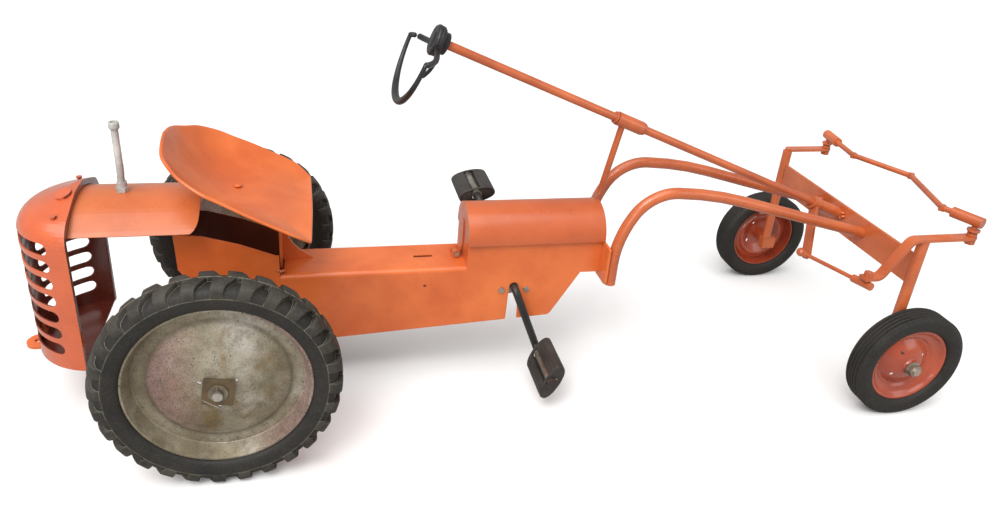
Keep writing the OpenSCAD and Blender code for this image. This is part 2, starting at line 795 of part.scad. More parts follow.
function seat_section(p) =
    concat([for (s = [0.15, 0.35, 0.55, 0.72, 0.85, 0.94, 1]) seat_point(p, s)],
           [seat_lip(p, seat_roll_r, 0.6), seat_lip(p, 1.8 * seat_roll_r, -0.3 * seat_roll_r),
            seat_lip(p, 2 * seat_roll_r, -1.3 * seat_roll_r),
            seat_lip(p, 1.4 * seat_roll_r, -2 * seat_roll_r)],
           [for (s = [1, 0.94, 0.85, 0.72, 0.55, 0.35, 0.15]) seat_under(p, s)]);

module seat_pan() {
    loop = seat_loop();
    count = len(loop);
    sections = [for (p = loop) each seat_section(p)];
    rings = len(sections) / count;
    top = [seat_centre.x, 0, seat_floor(seat_centre.x)];
    first = count * rings;
    points = concat(sections, [top, top - [0, 0, seat_t]]);
    faces = [for (j = [0:count - 1]) let (n = (j + 1) % count) each concat(
        [[first, n * rings, j * rings]],
        [[first + 1, j * rings + rings - 1, n * rings + rings - 1]],
        [for (k = [0:rings - 2]) each [[j * rings + k, n * rings + k, n * rings + k + 1],
                                       [j * rings + k, n * rings + k + 1, j * rings + k + 1]]])];
    color(orange) difference() {
        polyhedron(points, faces);
        translate([seat_bolt_at.x, seat_bolt_at.y, 0])
            upright(seat_bolt_d + 4 * snug, seat_front_z, seat_front_z + 60);
    }
}

bracket_half_w = 26;
bracket_foot_w = 18;
bracket_x = [deck_x0, deck_x0 + bracket_t];
gusset_y = [8, 11];

module seat_bracket() {
    under = seat_t + rest_gap + 0.3 + bracket_t / 2;
    x1 = bracket_x[1];
    shelf = [for (d = [0, 12, 23, 34, 46, 59, 71]) [x1 - d, seat_mid_z(x1 - d) - under]];
    web_top = seat_mid_z(x1) - under;
    web = [[-bracket_foot_w, deck_z], [bracket_foot_w, deck_z],
           [bracket_half_w, web_top], [-bracket_half_w, web_top]];
    gusset = [[x1, deck_z], [x1 + 45, deck_z], [x1 + 41, deck_z + 3], [x1 + 25, deck_z + 15],
              [x1 + 14, deck_z + 27], [x1 + 5, deck_z + 47], [x1 + 2, deck_z + 77], [x1, deck_z + 79]];
    color(orange) difference() {
        union() {
            in_xz(-bracket_half_w, bracket_half_w) polygon(ribbon(shelf, bracket_t));
            in_yz(bracket_x[0], bracket_x[1]) polygon(web);
            in_xz(gusset_y[0], gusset_y[1]) polygon(gusset);
        }
        translate([seat_bolt_at.x, seat_bolt_at.y, 0])
            upright(seat_bolt_d + snug, deck_z + 50, seat_front_z + 60);
    }
}

module seat_bolt() {
    z = seat_floor(seat_bolt_at.x);
    head_z = 2.8;
    color(orange) translate([seat_bolt_at.x, seat_bolt_at.y, 0]) {
        upright(seat_bolt_d, z - 16, z + head_z + 1);
        translate([0, 0, z + head_z]) intersection() {
            cylinder(d = 2 * seat_bolt_d, h = 3);
            translate([0, 0, 3 - 1.6 * seat_bolt_d]) sphere(r = 1.6 * seat_bolt_d);
        }
        translate([0, 0, z - 14]) hex_nut(10, 5);
    }
}

module nose_plate() {
    z0 = 178;
    z1 = lip_z - 1.5;
    color(orange) in_yz(nose_x, nose_x + nose_t)
        polygon(rounded([[-nose_half_w, z0], [nose_half_w, z0],
            [nose_half_w, z1], [-nose_half_w, z1]], [5, 5, 2, 2]));
}

module nose_bolt() {
    color(rubber) translate([nose_bolt_x, 0, 0]) {
        upright(bolt_d, nose_low_z - 9, nose_low_z + sheet_t + 1);
        translate([0, 0, nose_low_z + sheet_t]) hex_nut(8, 3.5);
        translate([0, 0, nose_low_z - 4]) hex_nut(8, 4);
    }
}

// Tank cover: it lifts at the front and turns on a bolt behind it
tank_x0 = deck_x1 - rest_gap;
tank_lip = 6;
hinge_x = deck_x1 - 11;
hinge_z = deck_z + hinge_h;
ear_y = [6, 9];
strap_half = 5.6;
strap_t = 2;
eye_r = 6;

// Two tabs raised from the deck carry the hinge bolt
module tank_hinge_ears() {
    for (side = [-1, 1]) on_side(side) in_xz(ear_y[0], ear_y[1]) difference() {
        union() {
            translate([hinge_x, hinge_z]) circle(r = eye_r);
            translate([hinge_x - eye_r, deck_z]) square([2 * eye_r, hinge_h]);
        }
        translate([hinge_x, hinge_z]) circle(d = hinge_d + snug);
    }
}

module tank_hinge_bolt() {
    color(zinc) translate([hinge_x, 0, hinge_z]) {
        along_y(hinge_d, -ear_y[1] - 1, ear_y[1] + 5);
        along_y(9, -ear_y[1] - 3, -ear_y[1]);
        translate([0, ear_y[1], 0]) rotate([-90, 0, 0]) hex_nut(8, 4);
    }
}

module tank_section(r) {
    intersection() {
        translate([0, lip_z + tank_t]) circle(r = r);
        translate([-r, lip_z + tank_t]) square([2 * r, 2 * r]);
    }
}

module tank_cover() {
    color(orange) {
        in_yz(tank_x0, tank_x1) difference() {
            union() {
                tank_section(tank_r);
                translate([-tank_r, lip_z]) square([2 * tank_r, tank_t]);
            }
            tank_section(tank_r - tank_t);
            translate([tank_lip - tank_r - tank_t, lip_z - 1])
                square([2 * (tank_r + tank_t - tank_lip), tank_t + 2]);
        }
        for (x = [tank_x0, tank_x1 - tank_t]) in_yz(x, x + tank_t) {
            tank_section(tank_r - tank_t / 2);
            translate([-side_in - sheet_t, lip_z]) square([chassis_w, tank_t + 1]);
        }
    }
}

module tank_hinge_strap() {
    x = tank_x0 - strap_t / 2;
    path = [[hinge_x + eye_r - 2, hinge_z + 0.5], [x - 2, hinge_z + 8], [x, hinge_z + 14], [x, lip_z + 22]];
    color(orange) difference() {
        union() {
            translate([hinge_x, 0, hinge_z]) along_y(2 * eye_r - 2, -strap_half, strap_half);
            in_xz(-strap_half, strap_half) polygon(ribbon(path, strap_t));
        }
        translate([hinge_x, 0, hinge_z]) along_y(hinge_d + 2 * running, -eye_r, eye_r);
    }
}

// Path of a frame tube in its upright plane: each station is [x, z, lean forward in degrees]
tube_sides = 36;
bend_step = 6;

function along(p, l) = [p[0] + l * sin(p[2]), p[1] + l * cos(p[2]), p[2]];
function bend(p, r, a) =
    [p[0] + r * (cos(p[2]) - cos(p[2] + a)), p[1] + r * (sin(p[2] + a) - sin(p[2])), p[2] + a];
function bend_stations(p, b) = let (n = ceil(b[1] / bend_step))
    [for (i = [1:n]) bend(p, b[0], b[1] * i / n)];
function last_of(v) = v[len(v) - 1];
function tube_stations() =
    let (foot = [tube_x0, tube_foot_z, 0], a = along(foot, tube_rise), b = bend_stations(a, tube_bend_1),
         c = bend_stations(last_of(b), tube_bend_2), d = bend_stations(last_of(c), tube_bend_3))
    concat([foot, a], b, c, d, [along(last_of(d), (bolster_x0 - last_of(d)[0]) / sin(last_of(d)[2]))]);
function tube_point(s, r, a) =
    [s[0] + r * cos(a) * cos(s[2]), tube_y + r * sin(a), s[1] - r * cos(a) * sin(s[2])];
function to_bolster(p, lean) = let (l = (bolster_x0 - p.x) / sin(lean)) p + l * [sin(lean), 0, cos(lean)];
function tube_ring(s, r, end) =
    [for (i = [0:tube_sides - 1]) let (p = tube_point(s, r, i * 360 / tube_sides))
        end ? to_bolster(p, s[2]) : p];

module frame_tube() {
    stations = tube_stations();
    n = len(stations);
    m = tube_sides;
    rings = [for (r = [tube_d / 2, tube_d / 2 - tube_wall], i = [0:n - 1])
        each tube_ring(stations[i], r, i == n - 1)];
    outer = [for (i = [0:n - 2], k = [0:m - 1]) let (a = i * m + k, b = i * m + (k + 1) % m)
        each [[a, b, b + m], [a, b + m, a + m]]];
    inner = [for (f = outer) [f[2] + n * m, f[1] + n * m, f[0] + n * m]];
    ends = [for (k = [0:m - 1]) let (a = k, b = (k + 1) % m, c = n * m, e = (n - 1) * m)
        each [[b, a, a + c], [b, a + c, b + c], [a + e, b + e, b + e + c], [a + e, b + e + c, a + e + c]]];
    color(orange) polyhedron(rings, concat(outer, inner, ends));
}

module bolster_plate() {
    color(orange) difference() {
        box([bolster_x0, bolster_x0 + bolster_t], [-kingpin_y, kingpin_y], [bolster_z0, bolster_z1]);
        for (s = [-1, 1]) translate([kingpin_x, s * kingpin_y, 0]) upright(housing_d, 0, hood_top_z);
    }
}

housing_z0 = block_z[1] + rest_gap;

module kingpin_tubes() {
    color(orange) for (s = [-1, 1]) translate([kingpin_x, s * kingpin_y, 0]) difference() {
        upright(housing_d, housing_z0, housing_z1);
        upright(kingpin_d + 2 * running, housing_z0 - 1, housing_z1 + 1);
    }
}

collar_d = 21;
strut_foot_w = 15;

module column_strut() {
    knee = [strut_knee.x, strut_y, strut_knee.y];
    foot_top = strut_knee.y - 6;
    head = column_foot + strut_along * [-cos(shaft_deg), 0, sin(shaft_deg)];
    front = nose_x + nose_t;
    color(orange) difference() {
        union() {
            box([front, front + 5], [strut_y - strut_foot_w / 2, strut_y + strut_foot_w / 2],
                [nose_low_z, foot_top]);
            rod([front + strut_d / 2 - joint_swell, strut_y, strut_knee.y - 14], knee, strut_d);
            translate(knee) sphere(d = strut_d + joint_swell);
            rod(knee, head, strut_d);
        }
        on_shaft() cylinder(d = collar_d, h = shaft_l);
        box([nose_x, front], [-nose_half_w, nose_half_w], [nose_low_z, foot_top]);
    }
}

module shaft_sleeve(z0, z1, d) {
    on_shaft() difference() {
        upright(d, z0, z1);
        upright(shaft_d + 2 * running, z0 - 1, z1 + 1);
    }
}

module column_collar() {
    color(orange) shaft_sleeve(collar_at[0], collar_at[1], collar_d);
}

module column_bearing() {
    color(orange) intersection() {
        on_shaft() difference() {
            upright(bearing_d, -30, bearing_l);
            upright(shaft_d + 2 * running, -31, bearing_l + 1);
        }
        box([bolster_x0 - 90, bolster_x0], [-bearing_d, bearing_d], [bolster_z0 - 40, hood_top_z]);
    }
}

// Crank: one bent rod, its right arm at crank_deg
crank_bend_r = 10;
pin_l = 88;
cap_rim_t = 2.5;
sprocket_hub_d = 24;

module crank_half() {
    bent_rod([[arm_y - crank_bend_r], [crank_bend_r, 90], [crank_throw - 2 * crank_bend_r],
              [crank_bend_r, -90], [pin_l]], crank_d);
}

module at_crank() {
    translate([crank_x, 0, crank_z]) rotate([0, -crank_deg, 0]) rotate([0, 0, -90]) children();
}

module crank_shaft() {
    color(rubber) at_crank() for (turn = [0, 180]) rotate([0, 0, turn]) crank_half();
}

module pedal_caps() {
    y = pedal_y0 + pedal_l + 2 * rest_gap;
    color(zinc) at_crank() for (turn = [0, 180])
        rotate([0, 0, turn]) translate([y, crank_throw, 0]) rotate([0, 90, 0]) difference() {
            cylinder(d = crank_d + 6, h = cap_rim_t);
            translate([0, 0, -1]) cylinder(d = crank_d, h = cap_rim_t + 2);
        }
}

module sprocket(teeth, bore) {
    r = chain_pitch / 2 / sin(180 / teeth);
    rotate([90, 0, 0]) difference() {
        union() {
            translate([0, 0, -sprocket_t / 2]) cylinder(r = r + 4, h = sprocket_t);
            translate([0, 0, -sprocket_hub_d / 2]) cylinder(d = sprocket_hub_d, h = sprocket_hub_d);
        }
        translate([0, 0, -sprocket_hub_d]) cylinder(d = bore, h = 2 * sprocket_hub_d);
        for (i = [0:teeth - 1]) rotate([0, 0, (i + 0.5) * 360 / teeth]) translate([r, 0, -sprocket_t]) {
            cylinder(d = roller_d, h = 2 * sprocket_t);
            translate([0, -roller_d / 2, 0]) cube([roller_d, roller_d, 2 * sprocket_t]);
        }
    }
}

module crank_sprocket() {
    color(steel) translate([crank_x, 0, crank_z]) sprocket(crank_teeth, crank_d);
}

// Pedals: two rubber bars joined by a thin web around a steel sleeve
sleeve_wall = 2;
pedal_gap_in = 7;
pedal_y0 = arm_y + crank_bend_r + pedal_gap_in;

module at_pedal(side) {
    turn = side < 0 ? crank_deg : crank_deg + 180;
    translate([crank_x + crank_throw * cos(turn), 0, crank_z + crank_throw * sin(turn)]) on_side(side)
        translate([0, pedal_y0, 0]) rotate([0, side > 0 ? -pedal_left_deg : -pedal_deg, 0]) children();
}

module pedal_block() {
    bar_w = (pedal_w - pedal_gap) / 2;
    sleeve_d = crank_d + 2 * sleeve_wall;
    corner = 3;
    w = bar_w / 2;
    h = pedal_t / 2;
    web_in = 4;
    web_t = 12;
    color(rubber) difference() {
        union() {
            for (s = [-1, 1]) in_xz(0, pedal_l) translate([s * (pedal_gap + bar_w) / 2, 0])
                polygon(rounded([[-w, -h], [w, -h], [w, h], [-w, h]], [corner, corner, corner, corner]));
            for (y = [web_in, pedal_l - web_in - web_t])
                box([-pedal_gap, pedal_gap], [y, y + web_t], [-sleeve_d / 2 - 2, sleeve_d / 2 + 2]);
        }
        along_y(sleeve_d, -1, pedal_l + 1);
    }
}

module pedal_sleeve() {
    color(steel) difference() {
        along_y(crank_d + 2 * sleeve_wall, 0, pedal_l);
        along_y(crank_d + 2 * running, -1, pedal_l + 1);
    }
}

// Rear axle and wheels
rear_lip_y = rear_half_track + rear_rim_w / 2 - 1;
rear_ring_y = rear_lip_y - dish_d;
rear_hub_y = rear_ring_y + dome_h;
axle_washer_t = 2;
axle_end_y = rear_hub_y + drive_plate_t + 9;
rear_hub_in = rear_half_track - rear_rim_w / 2;
cotter_d = 2.8;
cotter_over = 4.5;
washer_d = 24;

// Cotters hold each rear wheel from outside and from inside, over washers
function cotter_y(side) =
    rear_hub_y + axle_washer_t + rest_gap + (side < 0 ? drive_plate_t : 0) + cotter_d / 2;
function inner_cotter_y() = rear_hub_in - axle_washer_t - 2 * rest_gap - cotter_d / 2;

module rear_axle() {
    color(steel) translate([0, 0, axle_z]) difference() {
        along_y(axle_d, -axle_end_y, axle_end_y);
        for (side = [-1, 1], y = [cotter_y(side), inner_cotter_y()])
            translate([0, side * y, -axle_d]) cylinder(d = cotter_d + snug, h = 2 * axle_d);
    }
}

module axle_sprocket() {
    color(steel) translate([0, 0, axle_z]) sprocket(axle_teeth, axle_d);
}

module drive_plate() {
    h = drive_plate_t;
    half = drive_plate_a / 2;
    color(zinc) on_side(-1) translate([0, rear_hub_y, axle_z]) difference() {
        rotate([0, 8, 0]) box([-half, half], [0, h], [-half, half]);
        along_y(axle_d, -1, h + 1);
    }
}

module axle_fasteners() {
    h = axle_d / 2 + cotter_over;
    color(steel) for (side = [-1, 1]) on_side(side) translate([0, 0, axle_z]) {
        for (y = [cotter_y(side), inner_cotter_y()]) translate([0, y, -h]) cylinder(d = cotter_d, h = 2 * h);
        for (y = [cotter_y(side) - cotter_d / 2 - axle_washer_t,
                inner_cotter_y() + cotter_d / 2]) difference() {
            along_y(washer_d, y, y + axle_washer_t);
            along_y(axle_d + snug, y - 1, y + axle_washer_t + 1);
        }
    }
}

// Wheel metal: barrel, dish, flat ring, dome and hub, turned about the axle; z is outboard
module rear_disc(bore) {
    lip = rear_rim_r;
    ring_r = lip - 11;
    z1 = rear_rim_w / 2;
    lip_z_local = z1 - 1;
    ring_z = lip_z_local - dish_d;
    hub_z = ring_z + dome_h;
    dome_mid_r = dome_r - 29;
    crown_r = dome_r - 55;
    face = [[lip - 0.5, z1], [lip - 3, z1], [ring_r, ring_z], [dome_r, ring_z],
            [dome_mid_r, ring_z + 0.5 * dome_h], [crown_r, ring_z + 0.85 * dome_h],
            [hub_d / 2 + 4, hub_z], [bore / 2, hub_z]];
    back = [[bore / 2, -z1], [hub_d / 2, -z1], [hub_d / 2, hub_z - disc_t],
            [crown_r, ring_z + 0.85 * dome_h - disc_t], [dome_mid_r, ring_z + 0.5 * dome_h - disc_t],
            [dome_r - disc_t, ring_z - disc_t], [ring_r + disc_t, ring_z - disc_t],
            [lip - disc_t, z1 - 6], [lip - disc_t, -z1], [lip, -z1], [lip, z1 - 0.5]];
    color(zinc) difference() {
        rotate_extrude() polygon(concat(face, back));
        for (a = [90, 210, 330]) rotate([0, 0, a]) translate([25, 0, hub_z - 12]) cylinder(d = 5, h = 14);
    }
}

function mirrored(p) = concat(p, [for (i = [len(p) - 1:-1:0]) [p[i].x, -p[i].y]]);

// One tread bar of the outer row: it runs from the middle of the tread over the shoulder
module lug() {
    crown = rear_r - lug_h;
    reach = rear_tyre_w / 2 / cos(lug_slant);
    rotate([lug_slant, 0, 0]) rotate([90, 0, 0]) linear_extrude(lug_w, center = true)
        polygon([[crown - 3, 0.5], [rear_r + 1, 0.5], [rear_r + 1, reach - 7], [rear_r - 7, reach],
                 [crown - 9, reach], [crown - 9, reach - 4]]);
}

module rear_tyre() {
    crown = rear_r - lug_h;
    w = rear_tyre_w / 2;
    half = [[rear_rim_r, rear_rim_w / 2], [rear_rim_r + 8, w - 2], [crown - 20, w], [crown - 5, w - 1],
            [crown, w - 8]];
    color(rubber) rotate_extrude() polygon(mirrored(half));
    color(rubber) intersection() {
        cylinder(r = rear_r, h = rear_tyre_w, center = true);
        for (i = [0:lug_count - 1]) {
            rotate([0, 0, i * 360 / lug_count]) lug();
            rotate([0, 0, (i + 0.5) * 360 / lug_count]) mirror([0, 0, 1]) lug();
        }
    }
}

module at_rear(side) {
    on_side(side) translate([0, rear_half_track, axle_z]) rotate([-90, 0, 0]) children();
}

// Front wheels
hub_gap = 0.4;
front_hub_z = [-front_tyre_w / 2 + 3, front_rim_w / 2 + 6];

module front_disc() {
    bore = stub_d + 2 * running;
    z1 = front_rim_w / 2;
    floor_z = z1 - front_dish_d;
    step_r = front_rim_r - 18;
    hub = bore / 2 + 5;
    face = [[front_rim_r, z1], [front_rim_r - 3, z1], [step_r + 6, floor_z + 3], [step_r, floor_z + 3],
            [step_r - 4, floor_z - 2], [hub + 2, floor_z - 2], [hub, front_hub_z[1]],
            [bore / 2, front_hub_z[1]]];
    back = [[bore / 2, front_hub_z[0]], [hub, front_hub_z[0]], [hub, floor_z - 2 - disc_t],
            [step_r - 5, floor_z - 2 - disc_t], [step_r - 1, floor_z + 3 - disc_t],
            [step_r + 6, floor_z + 3 - disc_t], [front_rim_r - disc_t, z1 - 5],
            [front_rim_r - disc_t, -z1], [front_rim_r, -z1]];
    color(orange) difference() {
        rotate_extrude() polygon(concat(face, back));
        for (a = [0:3]) rotate([0, 0, a * 90 + 35]) translate([28, 0, floor_z - 12]) cylinder(d = 6, h = 16);
    }
}

module front_tyre() {
    w = front_tyre_w / 2;
    tread = w - 5;
    pitch = 2 * tread / groove_count;
    half = [[front_rim_r, front_rim_w / 2], [front_rim_r + 5, w - 1], [front_r - 12, w],
            [front_r - 4, w - 2], [front_r, tread]];
    color(rubber) difference() {
        rotate_extrude() polygon(mirrored(half));
        for (i = [0:groove_count - 1]) translate([0, 0, -tread + (i + 0.5) * pitch]) difference() {
            cylinder(r = front_r + 5, h = 2.5, center = true);
            cylinder(r = front_r - groove_h, h = 3, center = true);
        }
    }
}

module at_front(side) {
    on_side(side) translate([wheel_base, front_half_track, stub_z]) rotate([-90, 0, 0]) children();
}

stub_end_y = front_half_track + front_hub_z[1] + nut_h + 5;

// Kingpin: a round pin through its tube, a block under it and the stub axle on the block
module kingpin() {
    color(steel) {
        translate([kingpin_x, kingpin_y, 0]) upright(kingpin_d, block_z[1], arm_z1);
        box([kingpin_x - 9, wheel_base + stub_d / 2 + 3], block_y, block_z);
        translate([wheel_base, 0, stub_z]) along_y(stub_d, block_y[1], stub_end_y);
    }
}

module front_nut() {
    y = front_half_track + front_hub_z[1] + hub_gap;
    color(zinc) translate([wheel_base, y, stub_z]) difference() {
        union() {
            along_y(24, 0, 1.6);
            translate([0, 1.6, 0]) rotate([-90, 0, 0]) hex_nut(18, nut_h);
        }
        along_y(stub_d, -1, nut_h + 9);
    }
}

stud_hole_d = 8;

// Flat arm on top of a kingpin, reaching forward to the tie rod
module arm_plan(rear) {
    linear_extrude(flat_t) difference() {
        union() {
            translate([-rear, -flat_w / 2]) square([arm_reach + rear, flat_w]);
            translate([arm_reach, 0]) circle(d = flat_w);
        }
        circle(d = kingpin_d);
        translate([arm_reach, 0]) circle(d = stud_hole_d);
    }
}

module steering_arm_left() {
    color(orange) translate([kingpin_x, kingpin_y, arm_z0]) arm_plan(0);
}

tail_at = [kingpin_x - tail_reach, kingpin_y];
tail_bend_x = kingpin_x - 21;

module steering_arm_right() {
    z = arm_z0 + flat_t / 2;
    low = tail_z - flat_t / 2;
    start = kingpin_x - flat_w / 2 - 1;
    tip = tail_at.x - 9;
    side = concat([[start, z]], fillet([start, z], [tail_bend_x, z], [tail_at.x + 18, low], 14),
                  fillet([tail_bend_x, z], [tail_at.x + 18, low], [tip, low], 14), [[tip, low]]);
    color(orange) on_side(-1) {
        translate([kingpin_x, kingpin_y, arm_z0]) arm_plan(flat_w / 2 + 1);
        difference() {
            in_xz(kingpin_y - flat_w / 2, kingpin_y + flat_w / 2) polygon(ribbon(side, flat_t));
            translate([tail_at.x, tail_at.y, 0]) upright(tail_bolt_d, low - 9, low + 9);
        }
    }
}

tail_bolt_d = 8;

module tail_bolt() {
    color(orange) translate([tail_at.x, -tail_at.y, 0]) {
        upright(tail_bolt_d, tail_z - flat_t - 0.6, tail_z + 8);
        upright(13, tail_z, tail_z + 2);
        translate([0, 0, tail_z + 2]) hex_nut(12, 5);
    }
}

// Tie rod: it bows forward between two rod ends over the arms
tie_end_d = 17;
tie_stud_x = kingpin_x + arm_reach;
tie_path = [[tie_stud_x, -tie_y], [kingpin_x + 62, -132], [tie_bow_x, -12],
            [kingpin_x + 62, 82], [tie_stud_x, tie_y]];

module rod_end(at, toward) {
    dir = unit(toward - at);
    a = at - 9 * dir;
    b = at + 36 * dir;
    rod([a.x, a.y, tie_z], [b.x, b.y, tie_z], tie_end_d);
}

module tie_rod() {
    last = len(tie_path) - 1;
    color(orange) {
        for (i = [0:last - 1]) let (a = tie_path[i], b = tie_path[i + 1])
            rod([a.x, a.y, tie_z], [b.x, b.y, tie_z], tie_d);
        for (i = [1:last - 1]) translate([tie_path[i].x, tie_path[i].y, 0])
            upright(tie_knee_d, tie_z - tie_knee_h / 2, tie_z + tie_knee_h / 2);
        rod_end(tie_path[0], tie_path[1]);
        rod_end(tie_path[last], tie_path[last - 1]);
    }
}

// Each stud stands in its rod end, passes through the arm and has a nut under it
module tie_rod_studs() {
    color(zinc) for (p = [tie_path[0], tie_path[len(tie_path) - 1]]) translate([p.x, p.y, 0]) {
        upright(stud_hole_d - 2 * running, arm_z0 - 9, tie_z - tie_end_d / 2);
        upright(14, arm_z1 + rest_gap, arm_z1 + 5);
        upright(18, arm_z1 + 8, arm_z1 + 11);
        translate([0, 0, arm_z0 - 8]) hex_nut(13, 7);
    }
}

// Steering shaft, wheel, pitman arm and drag link
pitman_z = 52;
ball_d = 15;
ball_z = 64;
stud_d = 7;

module steering_shaft() {
    color(orange) on_shaft() {
        upright(shaft_d, 0, shaft_l);
        for (z = [collar_at[0] - 4, collar_at[1] + 1]) upright(shaft_d + 6, z, z + 3);
    }
}

hub_h = 12;

module steering_wheel() {
    reach = wheel_r - 14;
    rise = wheel_dish;
    spoke_r = (reach * reach + rise * rise) / 2 / rise;
    spoke_deg = asin(reach / spoke_r);
    color(rubber) on_shaft() translate([0, 0, shaft_l]) difference() {
        union() {
            upright(wheel_hub_d, -hub_h, 2);
            upright(wheel_hub_d - 14, -hub_h - 8, 0);
            for (s = [-1, 1]) mirror([0, s > 0 ? 0 : 1, 0]) translate([-wheel_drop / 2, 14, -hub_h / 2])
                rotate([0, 0, 4]) translate([0, 0, spoke_r]) rotate([0, 90, 0]) rotate([0, 0, 0])
                    rotate_extrude(angle = spoke_deg + 4) translate([spoke_r, 0]) circle(d = wheel_rim_d);
            translate([-wheel_drop, 0, rise]) rotate([0, 0, 90 - 4]) rotate_extrude(angle = 188)
                translate([wheel_r, 0]) circle(d = wheel_rim_d);
        }
        upright(shaft_d, -3 * hub_h, 0);
    }
}

module pitman_arm() {
    color(orange) on_shaft() translate([0, 0, pitman_z]) difference() {
        union() {
            upright(22, -8, 8);
            rotate([0, 0, 180 + pitman_deg]) {
                box([0, pitman_l], [-flat_w / 2, flat_w / 2], [-flat_t / 2, flat_t / 2]);
                translate([pitman_l, 0, 0]) upright(flat_w, -flat_t / 2, flat_t / 2);
                translate([pitman_l, 0, 0]) upright(stud_d, 0, ball_z - pitman_z - ball_d / 2 - rest_gap);
            }
        }
        upright(shaft_d, -20, 20);
    }
}

drag_end_d = 12.5;
drag_drop = 14;

// Drag link: a ball socket on the pitman arm, a thin rod and an end under the right arm's tail
module drag_link() {
    up = [sin(shaft_deg), 0, cos(shaft_deg)];
    along = [-cos(shaft_deg), 0, sin(shaft_deg)];
    ball = column_foot + ball_z * along - pitman_l * (cos(pitman_deg) * up + [0, sin(pitman_deg), 0]);
    end = [tail_at.x, -tail_at.y, tail_z - drag_drop];
    dir = unit(end - ball);
    color(orange) {
        translate(ball) sphere(d = ball_d);
        rod(ball, end, drag_d);
        rod(ball, ball + 16 * dir, drag_d + 3.5);
        rod(end - 24 * dir, end + 10 * dir, drag_end_d);
    }
}

centred() chassis_shell();
centred() hood_bracket();
centred() rear_axle_bearings();
centred() crank_bearings();
centred() crank_bearing_bolts();
centred() drive_chain();
centred() grille_shell();
centred() grille_screws();
centred() grille_cap();
centred() hood();
centred() exhaust_base();
centred() exhaust_pipe();
centred() drawbar();
centred() seat_bracket();
centred() seat_pan();
centred() seat_bolt();
centred() nose_plate();
centred() nose_bolt();
centred() tank_hinge_bolt();
centred() tank_cover();
centred() tank_hinge_strap();
centred() on_side(-1) frame_tube();  // frame_tube_right
centred() frame_tube();  // frame_tube_left
centred() bolster_plate();
centred() kingpin_tubes();
centred() column_strut();
centred() column_collar();
centred() column_bearing();
centred() crank_shaft();
centred() crank_sprocket();
centred() pedal_caps();
centred() at_pedal(-1) pedal_block();  // pedal_right
centred() at_pedal(1) pedal_block();  // pedal_left
centred() at_pedal(-1) pedal_sleeve();  // pedal_sleeve_right
centred() at_pedal(1) pedal_sleeve();  // pedal_sleeve_left
centred() rear_axle();
centred() axle_sprocket();
centred() drive_plate();
centred() axle_fasteners();
centred() at_rear(-1) rear_disc(axle_d);  // rear_disc_right
centred() at_rear(-1) rear_tyre();  // rear_tyre_right
centred() at_rear(1) rear_disc(axle_d + 2 * running);  // rear_disc_left
centred() at_rear(1) rear_tyre();  // rear_tyre_left
centred() steering_shaft();
centred() steering_wheel();
centred() pitman_arm();
centred() drag_link();
centred() on_side(-1) kingpin();  // kingpin_right
centred() kingpin();  // kingpin_left
centred() steering_arm_right();
centred() steering_arm_left();
centred() tail_bolt();
centred() tie_rod();
centred() tie_rod_studs();
centred() at_front(-1) front_disc();  // front_disc_right
centred() at_front(-1) front_tyre();  // front_tyre_right
centred() at_front(1) front_disc();  // front_disc_left
centred() at_front(1) front_tyre();  // front_tyre_left
centred() on_side(-1) front_nut();  // front_nut_right
centred() front_nut();  // front_nut_left
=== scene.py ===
"""Looks for the pedal tractor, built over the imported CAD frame. Metres, +X forward, +Y left, +Z up."""
import json
import math
import random

import bmesh
import bpy
from mathutils import Matrix, Vector


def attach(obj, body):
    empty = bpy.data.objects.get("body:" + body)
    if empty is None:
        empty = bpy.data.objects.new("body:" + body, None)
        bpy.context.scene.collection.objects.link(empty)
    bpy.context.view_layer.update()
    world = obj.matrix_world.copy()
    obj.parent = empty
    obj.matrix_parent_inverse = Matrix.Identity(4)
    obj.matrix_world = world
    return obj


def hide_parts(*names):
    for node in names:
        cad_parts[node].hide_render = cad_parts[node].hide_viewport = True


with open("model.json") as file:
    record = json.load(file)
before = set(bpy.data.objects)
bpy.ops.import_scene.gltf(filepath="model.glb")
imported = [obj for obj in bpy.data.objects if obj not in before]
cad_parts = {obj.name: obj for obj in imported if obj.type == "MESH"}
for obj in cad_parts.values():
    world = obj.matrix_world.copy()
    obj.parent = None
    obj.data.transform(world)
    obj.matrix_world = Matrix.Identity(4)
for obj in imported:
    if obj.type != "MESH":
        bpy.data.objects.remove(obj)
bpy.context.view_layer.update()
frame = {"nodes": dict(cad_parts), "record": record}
NODES = frame["nodes"]

# Driving sizes, in millimetres in the tractor's own frame, before it leans: x runs from the rear axle
REAR_R = 152.4
REAR_HALF_TRACK = 205
FRONT_R = 90
FRONT_RIM_R = 63.2
FRONT_RIM_HALF = 12
FRONT_HALF_TRACK = 211
WHEEL_BASE = 1011
STUB_Z = 101
CRANK_X = 421
CRANK_Z = 165
CRANK_ARM = 114

# The lean of the frame, and its middle ahead of the rear axle, in metres
LEAN = math.radians(0.62358)
MID = 0.411576
AXLE_Z = REAR_R / 1000


def at(x, y, z):
    """A point of the tractor's own frame, as a place in the scene: it leans about the rear axle."""
    x, z = x / 1000, z / 1000 - AXLE_Z
    return Vector((x * math.cos(LEAN) + z * math.sin(LEAN) - MID, y / 1000,
                   AXLE_Z + z * math.cos(LEAN) - x * math.sin(LEAN)))


def rear_centre(side):
    """The middle of a rear wheel: side is -1 on the right of the tractor and 1 on the left."""
    return Vector((-MID, side * REAR_HALF_TRACK / 1000, AXLE_Z))


def front_centre(side):
    return at(WHEEL_BASE, side * FRONT_HALF_TRACK, STUB_Z)


# Camera: its place in millimetres before the lean, and its turns in degrees
EYE = (122.2, -1012.8, 783.7)
YAW_PITCH_ROLL = (13.31, 24.54, -4.25)


